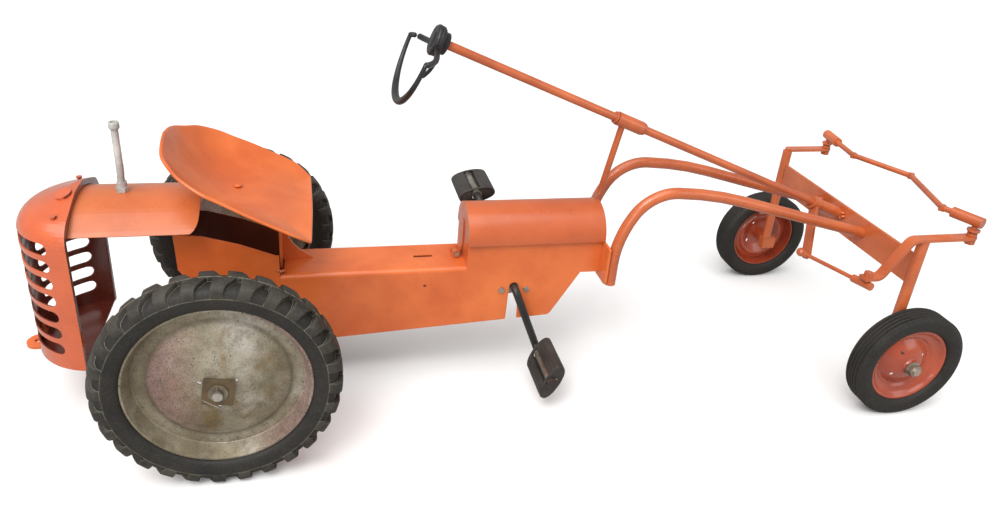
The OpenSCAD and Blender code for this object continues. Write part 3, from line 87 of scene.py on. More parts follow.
def make_camera():
    yaw, pitch, roll = (math.radians(a) for a in YAW_PITCH_ROLL)
    ahead = Vector((math.sin(yaw) * math.cos(pitch), math.cos(yaw) * math.cos(pitch), -math.sin(pitch)))
    side = Vector((math.cos(yaw), -math.sin(yaw), 0))
    down = ahead.cross(side)
    right = math.cos(roll) * side + math.sin(roll) * down
    low = -math.sin(roll) * side + math.cos(roll) * down
    data = bpy.data.cameras.new("camera")
    data.sensor_width = 36
    data.lens = 27.3
    data.shift_x = 0.0224
    data.shift_y = -0.0643
    cam = bpy.data.objects.new("camera", data)
    bpy.context.collection.objects.link(cam)
    turn = Matrix((right, -low, -ahead)).transposed()
    lean = Matrix.Rotation(LEAN, 4, "Y")
    cam.matrix_world = Matrix.Translation(at(*EYE)) @ lean @ turn.to_4x4()
    bpy.context.scene.camera = cam


make_camera()


# Materials
class Graph:
    """A short way to write a node tree."""

    def __init__(self, name):
        self.mat = bpy.data.materials.new(name)
        self.mat.use_nodes = True
        self.tree = self.mat.node_tree
        self.bsdf = self.tree.nodes["Principled BSDF"]
        self.coord = self.tree.nodes.new("ShaderNodeTexCoord").outputs["Object"]

    def node(self, kind, **sockets):
        n = self.tree.nodes.new("ShaderNode" + kind)
        for key, value in sockets.items():
            self.put(n, key, value)
        return n

    def put(self, n, key, value):
        """Links or sets a socket: key is its name, or i and its number."""
        numbered = key[0] == "i" and key[1:].isdigit()
        socket = n.inputs[int(key[1:]) if numbered else key.replace("_", " ")]
        if isinstance(value, bpy.types.NodeSocket):
            self.tree.links.new(value, socket)
        else:
            socket.default_value = value

    def noise(self, scale, detail=3.0, rough=0.55, coord=None, distort=0.0):
        n = self.node("TexNoise", Scale=scale, Detail=detail, Roughness=rough, Distortion=distort)
        self.tree.links.new(coord or self.coord, n.inputs["Vector"])
        return n.outputs["Fac"]

    def cells(self, scale):
        n = self.node("TexVoronoi", Scale=scale)
        self.tree.links.new(self.coord, n.inputs["Vector"])
        return n.outputs["Distance"]

    def band(self, value, low, high, out_low=0.0, out_high=1.0):
        n = self.node("MapRange", Value=value)
        for k, v in zip(("From Min", "From Max", "To Min", "To Max"), (low, high, out_low, out_high)):
            n.inputs[k].default_value = v
        return n.outputs["Result"]

    def ramp(self, value, stops):
        n = self.node("ValToRGB", Fac=value)
        ramp = n.color_ramp
        while len(ramp.elements) < len(stops):
            ramp.elements.new(0.5)
        for e, (place, colour) in zip(ramp.elements, stops):
            e.position = place
            e.color = (*colour, 1)
        return n.outputs["Color"]

    def mix(self, fac, a, b):
        n = self.tree.nodes.new("ShaderNodeMix")
        n.data_type = "RGBA"
        for key, kind, value in (("Factor", "VALUE", fac), ("A", "RGBA", a), ("B", "RGBA", b)):
            socket = [s for s in n.inputs if s.name == key and s.type == kind][0]
            if isinstance(value, bpy.types.NodeSocket):
                self.tree.links.new(value, socket)
            else:
                socket.default_value = (*value, 1) if kind == "RGBA" else value
        return [s for s in n.outputs if s.type == "RGBA"][0]

    def math(self, op, a, b=0.0):
        n = self.node("Math")
        n.operation = op
        self.put(n, "i0", a)
        self.put(n, "i1", b)
        return n.outputs[0]

    def vector(self, op, a, b=None, out="Vector"):
        n = self.node("VectorMath")
        n.operation = op
        self.put(n, "i0", a)
        if b is not None:
            self.put(n, "i1", b)
        return n.outputs[out]

    def axis(self, name, vector):
        return self.node("SeparateXYZ", Vector=vector).outputs[name]

    def facing(self):
        return self.tree.nodes.new("ShaderNodeNewGeometry").outputs["Normal"]

    def edges(self, radius):
        """1 on hard edges and 0 on flats, where a small bevel would turn the surface, and its normal."""
        bevel = self.node("Bevel", Radius=radius)
        bevel.samples = 4
        turned = bevel.outputs["Normal"]
        return self.band(self.vector("DOT_PRODUCT", turned, self.facing(), "Value"), 0.98, 0.72), turned

    def bump(self, height, strength, distance, normal=None):
        n = self.node("Bump", Height=height, Strength=strength, Distance=distance)
        if normal is not None:
            self.tree.links.new(normal, n.inputs["Normal"])
        return n.outputs["Normal"]

    def finish(self, color=None, rough=None, normal=None, **plain):
        if color is not None:
            self.put(self.bsdf, "Base_Color", color)
        if rough is not None:
            self.put(self.bsdf, "Roughness", rough)
        if normal is not None:
            self.put(self.bsdf, "Normal", normal)
        for key, value in plain.items():
            self.put(self.bsdf, key, value)
        return self.mat


def rgb(*v):
    """sRGB bytes to linear colour."""
    return tuple(((c / 255 + 0.055) / 1.055) ** 2.4 if c > 10 else c / 255 / 12.92 for c in v)


PAINT_EDGE = 0.0008


def facing_in(g, centre, keep):
    """1 where a surface looks towards a point: keep drops a direction that doesn't count."""
    away = g.vector("MULTIPLY", g.vector("SUBTRACT", g.coord, centre), keep)
    return g.band(g.vector("DOT_PRODUCT", away, g.facing(), "Value"), -0.004, -0.012)


def orange_paint(name, light, dark, rough=0.33, wear_and_highlight=0.5, dirt=0.5, coat=0.25, shaded_hollow=None, bare_from=None):
    """Enamel with chipped edges that also carry a painted edge highlight, pits, dirt and painted shade in a
    hollow.

    The hollow's painted shade is set by a point, the directions that count, how far forward it holds and a
    colour.
    bare_from is how far out to the side, in metres, the paint gives way to steel.
    """
    g = Graph(name)
    broad = g.noise(9, 3, 0.6)
    fine = g.noise(160, 4, 0.7)
    color = g.mix(g.band(broad, 0.3, 0.7), light, dark)
    color = g.mix(g.band(g.noise(38, 5, 0.7), 0.52, 0.74, 0, 0.35 * dirt), color, rgb(160, 74, 36))
    edge, round_normal = g.edges(PAINT_EDGE)
    # Lighter orange along the edges, broken up by noise: painted edge highlight, mixed with chipped wear.
    chips_and_highlight = g.math("MULTIPLY", edge, g.band(g.noise(260, 3, 0.7), 0.45, 0.6))
    color = g.mix(g.math("MULTIPLY", chips_and_highlight, 0.55 * wear_and_highlight), color, rgb(245, 170, 126))
    specks = g.band(g.cells(120), 0.05, 0.02)
    pits = g.math("MULTIPLY", specks, g.band(g.noise(22, 2), 0.55, 0.62))
    color = g.mix(g.math("MULTIPLY", pits, 0.75), color, rgb(92, 40, 24))
    if shaded_hollow:
        centre, keep, front_x, shade_tone = shaded_hollow
        # Painted shade: faces that look towards the hollow's point, behind the given x, turn to the dark
        # shade colour.
        behind = g.band(g.axis("X", g.coord), front_x, front_x - 0.001)
        hollow_shade = g.math("MULTIPLY", facing_in(g, centre, keep), behind)
        color = g.mix(g.math("MULTIPLY", hollow_shade, 0.94), color, shade_tone)
    metal = 0.0
    if bare_from:
        aside = g.math("ABSOLUTE", g.axis("Y", g.coord))
        metal = g.band(aside, bare_from, bare_from + 0.0005, 0, 0.85)
        color = g.mix(metal, color, rgb(186, 180, 168))
    shine = g.band(g.noise(30, 4, 0.65), 0.3, 0.7, rough - 0.06, rough + 0.12)
    normal = g.bump(fine, 0.05, 0.0004, g.bump(broad, 0.12, 0.0012, round_normal))
    return g.finish(color, shine, normal, Coat_Weight=coat, Coat_Roughness=0.16, Metallic=metal)


PAINT_LIGHT = rgb(226, 118, 58)
PAINT_DARK = rgb(198, 90, 38)
LINK_LIGHT = rgb(206, 106, 58)
LINK_DARK = rgb(164, 76, 38)
STUB_FROM = 0.205

# Painted shade in the hollows under the seat and behind the grille
HOLLOW_Z = 215
GRILLE_X = -120
TROUGH_END_X = 76
TROUGH_FRONT = at(TROUGH_END_X, 0, HOLLOW_Z).x
EVERYWHERE = 1.0

PLAIN_PAINT = orange_paint("orange_paint", PAINT_LIGHT, PAINT_DARK)
# The grille's inside and the trough under the seat get painted shade.
GRILLE_PAINT = orange_paint("grille_paint", rgb(212, 102, 58), rgb(182, 78, 42), 0.22, 0.4, 0.4,
                            0.6, (at(GRILLE_X, 0, HOLLOW_Z), (1, 1, 1), EVERYWHERE, rgb(96, 36, 26)))
SHELL_PAINT = orange_paint("shell_paint", PAINT_LIGHT, PAINT_DARK,
                           shaded_hollow=(at(0, 0, HOLLOW_Z), (0, 1, 1), TROUGH_FRONT, rgb(70, 34, 24)))
HOOD_PAINT = orange_paint("hood_paint", rgb(206, 112, 62), rgb(178, 88, 44), 0.3, 0.4, 0.6)
TANK_PAINT = orange_paint("tank_paint", rgb(200, 100, 54), rgb(176, 82, 42), 0.3)
DISC_PAINT = orange_paint("disc_paint", rgb(182, 78, 46), rgb(138, 54, 32), 0.2, 0.5, 0.9, 0.6)
KINGPIN_PAINT = orange_paint("kingpin_paint", LINK_LIGHT, LINK_DARK, 0.26, 0.7, 0.9, 0.4,
                             bare_from=STUB_FROM)
LINK_PAINT = orange_paint("link_paint", LINK_LIGHT, LINK_DARK, 0.26, 0.7, 0.9, 0.4)


def bare_steel():
    g = Graph("bare_steel")
    broad = g.noise(40, 4, 0.6)
    fine = g.noise(500, 3, 0.6)
    color = g.ramp(broad, [(0.3, rgb(118, 108, 92)), (0.5, rgb(160, 154, 142)), (0.7, rgb(196, 192, 184))])
    rust = g.band(g.noise(85, 4, 0.7), 0.56, 0.68)
    color = g.mix(g.math("MULTIPLY", rust, 0.6), color, rgb(98, 66, 42))
    shine = g.band(fine, 0.3, 0.7, 0.28, 0.5)
    return g.finish(color, shine, g.bump(fine, 0.1, 0.0003, g.edges(0.0005)[1]), Metallic=0.85)


def dark_paint(name, color_a, color_b, rough=0.42):
    g = Graph(name)
    broad = g.noise(30, 4, 0.6)
    edge, round_normal = g.edges(PAINT_EDGE)
    wear_and_highlight = g.math("MULTIPLY", edge, g.band(g.noise(180), 0.45, 0.6))
    color = g.mix(g.band(broad, 0.35, 0.65), color_a, color_b)
    color = g.mix(g.math("MULTIPLY", wear_and_highlight, 0.4), color, rgb(120, 116, 110))
    return g.finish(color, g.band(broad, 0.3, 0.7, rough - 0.08, rough + 0.12),
                    g.bump(g.noise(240, 3), 0.15, 0.0004, round_normal))


def galvanised():
    """Weathered zinc: blotched tan and olive, dark specks, pink frosting towards two sides of the rim, and
    painted shade with some grime in the fold at the dome's foot.
    """
    g = Graph("galvanised_disc")
    flat = g.vector("MULTIPLY", g.vector("SUBTRACT", g.coord, (-MID, 0, AXLE_Z)), (1, 0, 1))
    r = g.vector("LENGTH", flat, out="Value")
    across = g.axis("X", flat)
    blot = g.noise(17, 4, 0.62, flat, 0.6)
    cloud = g.noise(11, 3, 0.6)
    speck = g.noise(520, 3, 0.75)
    grain = g.noise(1100, 2, 0.7)
    color = g.ramp(cloud, [(0.3, rgb(108, 98, 78)), (0.45, rgb(136, 126, 104)), (0.58, rgb(156, 148, 130)),
                           (0.7, rgb(184, 178, 166))])
    olive = g.math("MULTIPLY", g.band(blot, 0.5, 0.62), g.band(r, 0.084, 0.074))
    color = g.mix(g.math("MULTIPLY", olive, 0.72), color, rgb(116, 92, 44))
    left = g.math("MULTIPLY", g.band(across, -0.018, -0.06), g.band(r, 0.09, 0.085))
    right = g.math("MULTIPLY", g.band(across, 0.02, 0.08), g.band(r, 0.1, 0.106))
    pink = g.math("MAXIMUM", left, right)
    color = g.mix(g.math("MULTIPLY", pink, 0.55), color, rgb(164, 128, 126))
    frost = g.math("MULTIPLY", g.band(speck, 0.5, 0.6), g.band(pink, 0, 1, 0.16, 0.6))
    color = g.mix(frost, color, rgb(86, 74, 72))
    color = g.mix(g.band(g.noise(64, 5, 0.75), 0.46, 0.66, 0, 0.5), color, rgb(84, 76, 62))
    color = g.mix(g.band(speck, 0.56, 0.66, 0, 0.45), color, rgb(60, 52, 44))
    dark = g.math("MULTIPLY", g.band(g.cells(150), 0.2, 0.08), g.band(g.noise(36, 3), 0.46, 0.56))
    color = g.mix(g.math("MULTIPLY", dark, 0.85), color, rgb(44, 36, 30))
    # Painted shade, with some grime, in a ring at the dome's foot where the sheet folds.
    fold = g.math("MULTIPLY", g.band(r, 0.083, 0.087), g.band(r, 0.094, 0.089))
    fold_shade_and_grime = g.math("MULTIPLY", fold, g.band(g.noise(20, 3), 0.3, 0.7, 0.25, 0.7))
    color = g.mix(fold_shade_and_grime, color, rgb(84, 74, 60))
    shine = g.band(speck, 0.35, 0.65, 0.38, 0.62)
    normal = g.bump(cloud, 0.2, 0.0015, g.edges(PAINT_EDGE)[1])
    normal = g.bump(grain, 0.18, 0.0004, g.bump(speck, 0.22, 0.0005, normal))
    return g.finish(color, shine, normal, Metallic=0.35)


MATERIALS = {
    "orange_paint": PLAIN_PAINT,
    "bare_steel": bare_steel(),
    "silver_paint": dark_paint("silver_paint", rgb(206, 205, 202), rgb(160, 158, 154), 0.34),
    "black_paint": dark_paint("black_paint", rgb(26, 26, 27), rgb(44, 42, 41)),
    "worn_grey_paint": galvanised(),
    "black_rubber": dark_paint("black_rubber", rgb(38, 35, 33), rgb(60, 56, 53), 0.55),
    "black_plastic": dark_paint("black_plastic", rgb(22, 23, 25), rgb(40, 41, 42), 0.36),
    "tyre_rubber": dark_paint("tyre_rubber", rgb(50, 48, 47), rgb(70, 67, 64), 0.7),
}
SLOT_OF = {s["node"]: s["material_slot"] for s in frame["record"]["subparts"]}


def dress(obj, material):
    obj.data.materials.clear()
    obj.data.materials.append(material)


for name, obj in NODES.items():
    if obj.material_slots:
        for slot in obj.material_slots:
            slot.material = MATERIALS[SLOT_OF[name]]
    else:
        obj.data.materials.append(MATERIALS[SLOT_OF[name]])


WASHER_STEEL = dark_paint("washer_steel", rgb(126, 116, 96), rgb(66, 58, 46), 0.32)
CAP_BROWN = dark_paint("cap_brown", rgb(74, 46, 34), rgb(48, 32, 26), 0.5)
BRASS = dark_paint("dark_brass", rgb(104, 84, 52), rgb(62, 50, 34), 0.34)
OWN_FINISH = (
    (SHELL_PAINT, "chassis_shell"),
    (GRILLE_PAINT, "grille_shell grille_screws grille_cap"),
    (HOOD_PAINT, "hood"),
    (TANK_PAINT, "tank_cover tank_hinge_strap"),
    (LINK_PAINT, "frame_tube_right frame_tube_left bolster_plate kingpin_tubes column_strut column_collar"),
    (LINK_PAINT, "column_bearing steering_shaft pitman_arm drag_link steering_arm_right steering_arm_left"),
    (LINK_PAINT, "tail_bolt tie_rod tie_rod_studs"),
    (KINGPIN_PAINT, "kingpin_right kingpin_left"),
    (CAP_BROWN, "pedal_caps"),
    (BRASS, "drive_plate"),
    (WASHER_STEEL, "axle_fasteners"))
for finish, names in OWN_FINISH:
    for name in names.split():
        dress(NODES[name], finish)


# Meshes
def add(name, mesh, body, material, replaced=(), bevel=0.0):
    """Puts a mesh in the scene on a CAD body. material is a slot, or a slot, which is then not used, and
    the mesh's own finishes.
    """
    obj = bpy.data.objects.new(name, mesh)
    bpy.context.collection.objects.link(obj)
    for poly in mesh.polygons:
        poly.use_smooth = True
    if bevel:
        mod = obj.modifiers.new("bevel", "BEVEL")
        mod.width = bevel
        mod.segments = 2
        mod.limit_method = "ANGLE"
        mod.angle_limit = math.radians(38)
    if isinstance(material, str):
        dress(obj, MATERIALS[material])
    else:
        for m in material[1:]:
            mesh.materials.append(m)
    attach(obj, body)
    if replaced:
        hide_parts(*replaced)
    return obj


def mesh_of(name, points, faces, marks=None):
    """A mesh with its faces turned outwards. marks is the material's number, face by face."""
    mesh = bpy.data.meshes.new(name)
    mesh.from_pydata([tuple(p) for p in points], [], faces)
    if marks:
        for poly, mark in zip(mesh.polygons, marks):
            poly.material_index = mark
    mesh.validate()
    work = bmesh.new()
    work.from_mesh(mesh)
    bmesh.ops.recalc_face_normals(work, faces=work.faces)
    work.to_mesh(mesh)
    work.free()
    return mesh


def smooth_path(points, steps):
    """Points joined by a smooth curve that passes through each of them."""
    pts = [Vector(p) for p in points]
    out = []
    for i in range(len(pts) - 1):
        a, b, c, d = pts[max(i - 1, 0)], pts[i], pts[i + 1], pts[min(i + 2, len(pts) - 1)]
        for k in range(steps):
            f = k / steps
            bend = 2 * a - 5 * b + 4 * c - d + f * (3 * b - a - 3 * c + d)
            out.append(b + f / 2 * (c - a + f * bend))
    out.append(pts[-1])
    return out


def skin(rows, wide, loop=True, wrap=False):
    """Faces between rows of points. loop closes each row on itself, and wrap the last row on the first."""
    faces = []
    for i in range(rows if wrap else rows - 1):
        here, there = i * wide, (i + 1) % rows * wide
        for k in range(wide if loop else wide - 1):
            m = (k + 1) % wide
            faces.append((here + k, here + m, there + m, there + k))
    return faces


def caps(rows, wide):
    """The faces that close the first and the last row of points."""
    return [tuple(range(wide)), tuple((rows - 1) * wide + k for k in range(wide))]


def lathe(profile, centre, side, count, closed=True):
    """Points (radius, outboard) turned about the wheel's axle. side is -1 on the right of the tractor."""
    points = []
    for i in range(count):
        a = 2 * math.pi * i / count
        for r, y in profile:
            points.append(centre + Vector((r * math.sin(a), side * y, r * math.cos(a))) / 1000)
    return points, skin(count, len(profile), closed, wrap=True)


def lathe_up(profile, x, y, count=40):
    """Points (radius, height) turned about an upright line at x, y."""
    points = []
    for i in range(count):
        a = 2 * math.pi * i / count
        for r, z in profile:
            points.append(at(x + r * math.cos(a), y + r * math.sin(a), z))
    return points, skin(count, len(profile), False, wrap=True)


def sweep(path, radius, sides, wobble=None):
    """A tube along points in metres. radius is one number or a function of the share of the way."""
    pts = [Vector(p) for p in path]
    points = []
    up = Vector((0, 0, 1))
    first = (pts[1] - pts[0]).normalized()
    if abs(first.dot(up)) > 0.9:
        up = Vector((1, 0, 0))
    side = first.cross(up).normalized()
    for i, p in enumerate(pts):
        ahead = (pts[min(i + 1, len(pts) - 1)] - pts[max(i - 1, 0)]).normalized()
        side = (side - side.dot(ahead) * ahead).normalized()
        other = ahead.cross(side)
        r = radius(i / (len(pts) - 1)) if callable(radius) else radius
        for k in range(sides):
            a = 2 * math.pi * k / sides
            rough = r * (1 + (wobble(i, k) if wobble else 0))
            points.append(p + rough * (math.cos(a) * side + math.sin(a) * other))
    return points, skin(len(pts), sides) + caps(len(pts), sides)


def joined(parts):
    """Several (points, faces) as one."""
    points, faces = [], []
    for p, f in parts:
        base = len(points)
        points.extend(p)
        faces.extend(tuple(base + i for i in face) for face in f)
    return points, faces


# Tyres
def tread_rubber(name, light, dark, edge_color, dust):
    g = Graph(name)
    broad = g.noise(26, 4, 0.65)
    fine = g.noise(320, 4, 0.7)
    color = g.mix(g.band(broad, 0.32, 0.68), dark, light)
    color = g.mix(g.band(fine, 0.5, 0.72, 0, dust), color, rgb(120, 116, 106))
    edge, round_normal = g.edges(0.0009)
    # Lighter colour along the edges, broken up by noise: painted edge highlight, mixed with scuffed wear.
    wear_and_highlight = g.math("MULTIPLY", edge, g.band(g.noise(70, 3), 0.36, 0.52))
    color = g.mix(g.math("MULTIPLY", wear_and_highlight, 0.9), color, edge_color)
    shine = g.band(broad, 0.3, 0.7, 0.5, 0.72)
    normal = g.bump(fine, 0.3, 0.0005, g.bump(broad, 0.2, 0.001, round_normal))
    return g.finish(color, shine, normal, Specular_IOR_Level=0.35)


SIDE_RUBBER = tread_rubber("sidewall_rubber", rgb(42, 39, 35), rgb(28, 26, 24), rgb(76, 72, 62), 0.1)
LUG_RUBBER = tread_rubber("lug_rubber", rgb(64, 60, 54), rgb(34, 32, 28), rgb(186, 180, 152), 0.18)

REAR_STEPS = 168

# Half sections of the rear tyre, as radius and way out from its middle
CASING = [(115.6, 15.0), (116.5, 17.5), (120, 20.0), (126, 21.6), (131.5, 22.2), (133.5, 22.5),
          (134.2, 22.2), (138, 21.5), (142, 19), (144.6, 15), (145.6, 9), (145.8, 2)]
TREAD_RIDGE = [(145.5, 0.9), (152.0, 0.5), (152.0, -0.5), (145.5, -0.9)]
SIDE_RIDGE = [(133.0, 22.0), (134.4, 23.0), (135.2, 21.0)]
LUG_TOP = [(152.3, 0.4), (152.3, 5), (152.1, 10), (151.2, 14.5), (149.3, 18.6), (146, 21.6),
           (141.5, 22.9), (137.5, 22.9), (134.6, 22.7)]
LUG_FOOT = [(145, 0.4), (145, 5), (144.8, 10), (143.6, 14.0), (141.2, 17.4), (138.6, 19.6), (136.6, 21),
            (135, 21.4), (133.4, 21.6)]

# How far round the tread a lug's two edges are, row by row, and how much wider its foot is
LUG_BACK = [2.4, 2.2, 1.9, 1.5, 1.1, 0.8, 0.4, 0.2, 0.0]
LUG_FRONT = [29.4, 26.2, 22.6, 19.4, 17.4, 16.4, 15.9, 15.5, 15.3]
LUG_MIDDLE = 15
LUG_FLARE = 0.8
LUG_COLUMNS = 5
LUG_COUNT = 28


def rear_lug(turn, flip):
    """One tread block from the middle of the tread down the shoulder, wide at the middle."""
    points = []
    for (rt, yt), (rf, yf), back, front in zip(LUG_TOP, LUG_FOOT, LUG_BACK, LUG_FRONT):
        step = (front - back) / (LUG_COLUMNS - 1)
        row = [(rf, yf, back - LUG_FLARE)]
        row += [(rt, yt, back + step * k) for k in range(LUG_COLUMNS)]
        row.append((rf, yf, front + LUG_FLARE))
        for r, y, s in row:
            a = turn + (s - LUG_MIDDLE) / REAR_R
            points.append(Vector((r * math.sin(a), flip * y, r * math.cos(a))))
    rows, wide = len(LUG_TOP), LUG_COLUMNS + 2
    return points, skin(rows, wide, False) + caps(rows, wide)


def mirrored(half):
    """A half section and its mirror image, as one outline."""
    return half + [(r, -y) for r, y in reversed(half)]


def rear_tyre(node, side, body):
    centre = rear_centre(side)
    points, faces = lathe(mirrored(CASING), centre, side, REAR_STEPS)
    marks = [0] * len(faces)
    parts = [lathe(ring, centre, side, REAR_STEPS) for ring in (TREAD_RIDGE, SIDE_RIDGE)]
    for i in range(LUG_COUNT):
        for flip, shift in ((1, 0.5), (-1, 0)):
            p, f = rear_lug(2 * math.pi * (i + shift) / LUG_COUNT, flip)
            parts.append(([centre + Vector((q.x, side * q.y, q.z)) / 1000 for q in p], f))
    tread, tread_faces = joined(parts)
    marks += [1] * len(tread_faces)
    points, faces = joined([(points, faces), (tread, tread_faces)])
    mesh = mesh_of("visual_" + node, points, faces, marks)
    add("visual_" + node, mesh, body, ("tyre_rubber", SIDE_RUBBER, LUG_RUBBER), (node,), bevel=0.0005)


rear_tyre("rear_tyre_right", -1, "rear_axle")
rear_tyre("rear_tyre_left", 1, "rear_left_wheel")

FRONT_STEPS = 144
FRONT_WALL = [(FRONT_RIM_R + 0.2, FRONT_RIM_HALF), (64.5, 14.6), (67, 16.8), (70.5, 18.3), (76, 18.9),
              (81, 18.7), (83.6, 18), (85.2, 16.9)]
TREAD_HALF = 15.2
RIB_COUNT = 5
RIB = ((-2.9, 0), (-0.6, 0.9), (-0.2, 2.6), (-0.6, 4.3), (-2.9, 5.2))


def front_tyre(node, side, body):
    """A small tyre with ribs round its tread."""
    tread = []
    for i in range(RIB_COUNT):
        y = TREAD_HALF - 2 * TREAD_HALF * i / RIB_COUNT
        tread += [(FRONT_R + reach, y - step) for reach, step in RIB]
    profile = FRONT_WALL + tread + [(r, -y) for r, y in reversed(FRONT_WALL)]
    points, faces = lathe(profile, front_centre(side), side, FRONT_STEPS)
    mesh = mesh_of("visual_" + node, points, faces)
    add("visual_" + node, mesh, body, ("tyre_rubber", SIDE_RUBBER), (node,), bevel=0.0003)


front_tyre("front_tyre_right", -1, "front_wheel_right")
front_tyre("front_tyre_left", 1, "front_wheel_left")


# Seat
SEAT_RIM = [(114, 104, 293), (103, 113, 303), (88, 119, 314), (53, 118.6, 333), (29, 117, 346),
            (6, 113, 358), (-17, 110, 370), (-42, 95, 383), (-56, 75, 390), (-67, 54, 398), (-70, 28, 405),
            (-71, 0, 409)]
SEAT_FRONT_X, SEAT_FRONT_Y, SEAT_FRONT_Z = SEAT_RIM[0]
SEAT_LENGTH = 135
SEAT_RISE = 27
SEAT_MIDDLE = 40
SEAT_SHARES = [0.1, 0.2, 0.3, 0.4, 0.5, 0.6, 0.7, 0.78, 0.85, 0.91, 0.96, 1]
ROLLED_EDGE = ((1.5, 0.6), (3.4, 0.4), (4.5, -1.2), (4.3, -3.2), (2.9, -4.4), (1.7, -3.6))
SEAT_SHEET = 0.0016
FRONT_EDGE_PARTS = 12


def seat_floor(x):
    share = min(1, (SEAT_FRONT_X - x) / SEAT_LENGTH)
    return SEAT_FRONT_Z + SEAT_RISE * math.sin(math.radians(90 * share))


def seat():
    """A pressed pan: rings of points from its middle to its rim, which is rolled outwards and under."""
    half = [tuple(q) for q in smooth_path(SEAT_RIM, 5)]
    loop = half + [(x, -y, z) for x, y, z in reversed(half[:-1])]
    for k in range(1, FRONT_EDGE_PARTS):
        loop.append((SEAT_FRONT_X, SEAT_FRONT_Y * (2 * k / FRONT_EDGE_PARTS - 1), SEAT_FRONT_Z))
    points = []
    for px, py, pz in loop:
        out = Vector((px - SEAT_MIDDLE, py, 0)).normalized()
        for s in SEAT_SHARES:
            x, w = SEAT_MIDDLE + s * (px - SEAT_MIDDLE), s ** 3
            points.append(at(x, s * py, seat_floor(x) * (1 - w) + w * pz))
        for o, up in ROLLED_EDGE:
            points.append(at(px + o * out.x, py + o * out.y, pz + up))
    rings = len(SEAT_SHARES) + len(ROLLED_EDGE)
    faces = skin(len(loop), rings, False, wrap=True)
    points.append(at(SEAT_MIDDLE, 0, seat_floor(SEAT_MIDDLE)))
    middle = len(points) - 1
    faces += [(middle, j * rings, (j + 1) % len(loop) * rings) for j in range(len(loop))]
    mesh = mesh_of("visual_seat_pan", points, faces)
    obj = add("visual_seat_pan", mesh, "frame", "orange_paint", ("seat_pan",))
    thick = obj.modifiers.new("thick", "SOLIDIFY")
    thick.thickness = SEAT_SHEET
    thick.offset = -1
    smooth = obj.modifiers.new("smooth", "SUBSURF")
    smooth.levels = smooth.render_levels = 1


seat()


# Pedals
RIGHT_CRANK_DEG = -68
LEFT_CRANK_DEG = RIGHT_CRANK_DEG + 180
RIGHT_PEDAL_TILT = 64
LEFT_PEDAL_TILT = 12
PEDAL_Y = 71
BAR_MIDDLE = 8
BAR_FLAT = 0.94
BAR_HALF = [(7.8, 11.6), (13, 11.9), (15.2, 10.6), (17.4, 11.4), (20.6, 10.6), (22.4, 9.0), (24.4, 9.2),
            (27.4, 6.8), (29.6, 3.4), (29.8, 0)]
BAR_STATIONS = ((3, 0.97), (4, 1), (12, 1), (24, 1), (38, 1), (52, 1), (64, 1), (72.5, 1), (73.5, 0.97))
PLATE_ENDS = ((0.4, 4.2), (72.6, 76.6))
PLATE_POINTS = 36
PLATE_HALF_L = 30
PLATE_HALF_W = 12.1
PLATE_FULLNESS = 0.82
PLATE_DISH = 0.6
SLEEVE_HOLE_R = 9


def plate_outline():
    """The pointed oval of a pedal's end plate."""
    points = []
    for k in range(PLATE_POINTS):
        a = 2 * math.pi * k / PLATE_POINTS
        c, d = math.cos(a), math.sin(a)
        points.append((PLATE_HALF_L * c, PLATE_HALF_W * math.copysign(abs(d) ** PLATE_FULLNESS, d)))
    return points


def pedal(node, side, body):
    """Two ribbed rubber bars between two pointed end plates, round the steel sleeve."""
    turn = math.radians(RIGHT_CRANK_DEG if side < 0 else LEFT_CRANK_DEG)
    tilt = math.radians(RIGHT_PEDAL_TILT if side < 0 else LEFT_PEDAL_TILT)
    pin_x = CRANK_X + CRANK_ARM * math.cos(turn)
    pin_z = CRANK_Z + CRANK_ARM * math.sin(turn)

    def place(x, y, z):
        u = x * math.cos(tilt) - z * math.sin(tilt)
        v = x * math.sin(tilt) + z * math.cos(tilt)
        return at(pin_x + u, side * (PEDAL_Y + y), pin_z + v)

    outline = BAR_HALF + [(x, -z) for x, z in reversed(BAR_HALF[:-1])]
    parts = []
    for s in (-1, 1):
        points = []
        for y, grow in BAR_STATIONS:
            for x, z in outline:
                points.append(place(s * (BAR_MIDDLE + (x - BAR_MIDDLE) * grow), y, z * grow * BAR_FLAT))
        rows, wide = len(BAR_STATIONS), len(outline)
        parts.append((points, skin(rows, wide) + caps(rows, wide)))
    lens = plate_outline()
    for y0, y1 in PLATE_ENDS:
        points = []
        dish = y1 - PLATE_DISH
        rings = ((y0, 0.9), (y0, 1), (y1, 1), (y1, 0.9), (dish, 0.84))
        for y, grow in rings:
            points += [place(x * grow, y, z * grow) for x, z in lens]
        for x, z in lens:
            reach = SLEEVE_HOLE_R / math.hypot(x, z)
            points.append(place(x * reach, dish, z * reach))
        parts.append((points, skin(len(rings) + 1, len(lens))))
    points, faces = joined(parts)
    mesh = mesh_of("visual_" + node, points, faces)
    add("visual_" + node, mesh, body, "black_rubber", (node,), bevel=0.0006)


pedal("pedal_right", -1, "pedal_right")
pedal("pedal_left", 1, "pedal_left")


# Exhaust
EXHAUST_X = -134
PIPE_R = 0.0047
PIPE_SIDES = 14
PIPE_BENDS = ((0, 0, 314), (0, 0, 330), (-0.3, 0.2, 344), (0.3, -0.2, 360), (0, 0, 390), (0, 0, 415))
DENT_ROWS = 60
CRUMPLED_ROW = 17
CRUMPLED_HALF = 14
CRUMPLED_SHARE = 0.12
ROUGH_SHARE = 0.02
CAP = [(4.6, 413), (6.4, 414.5), (6.9, 417), (6.7, 421), (6.2, 423.6), (5.0, 423.8), (4.2, 422.6),
       (3.6, 418), (0.1, 417.6)]


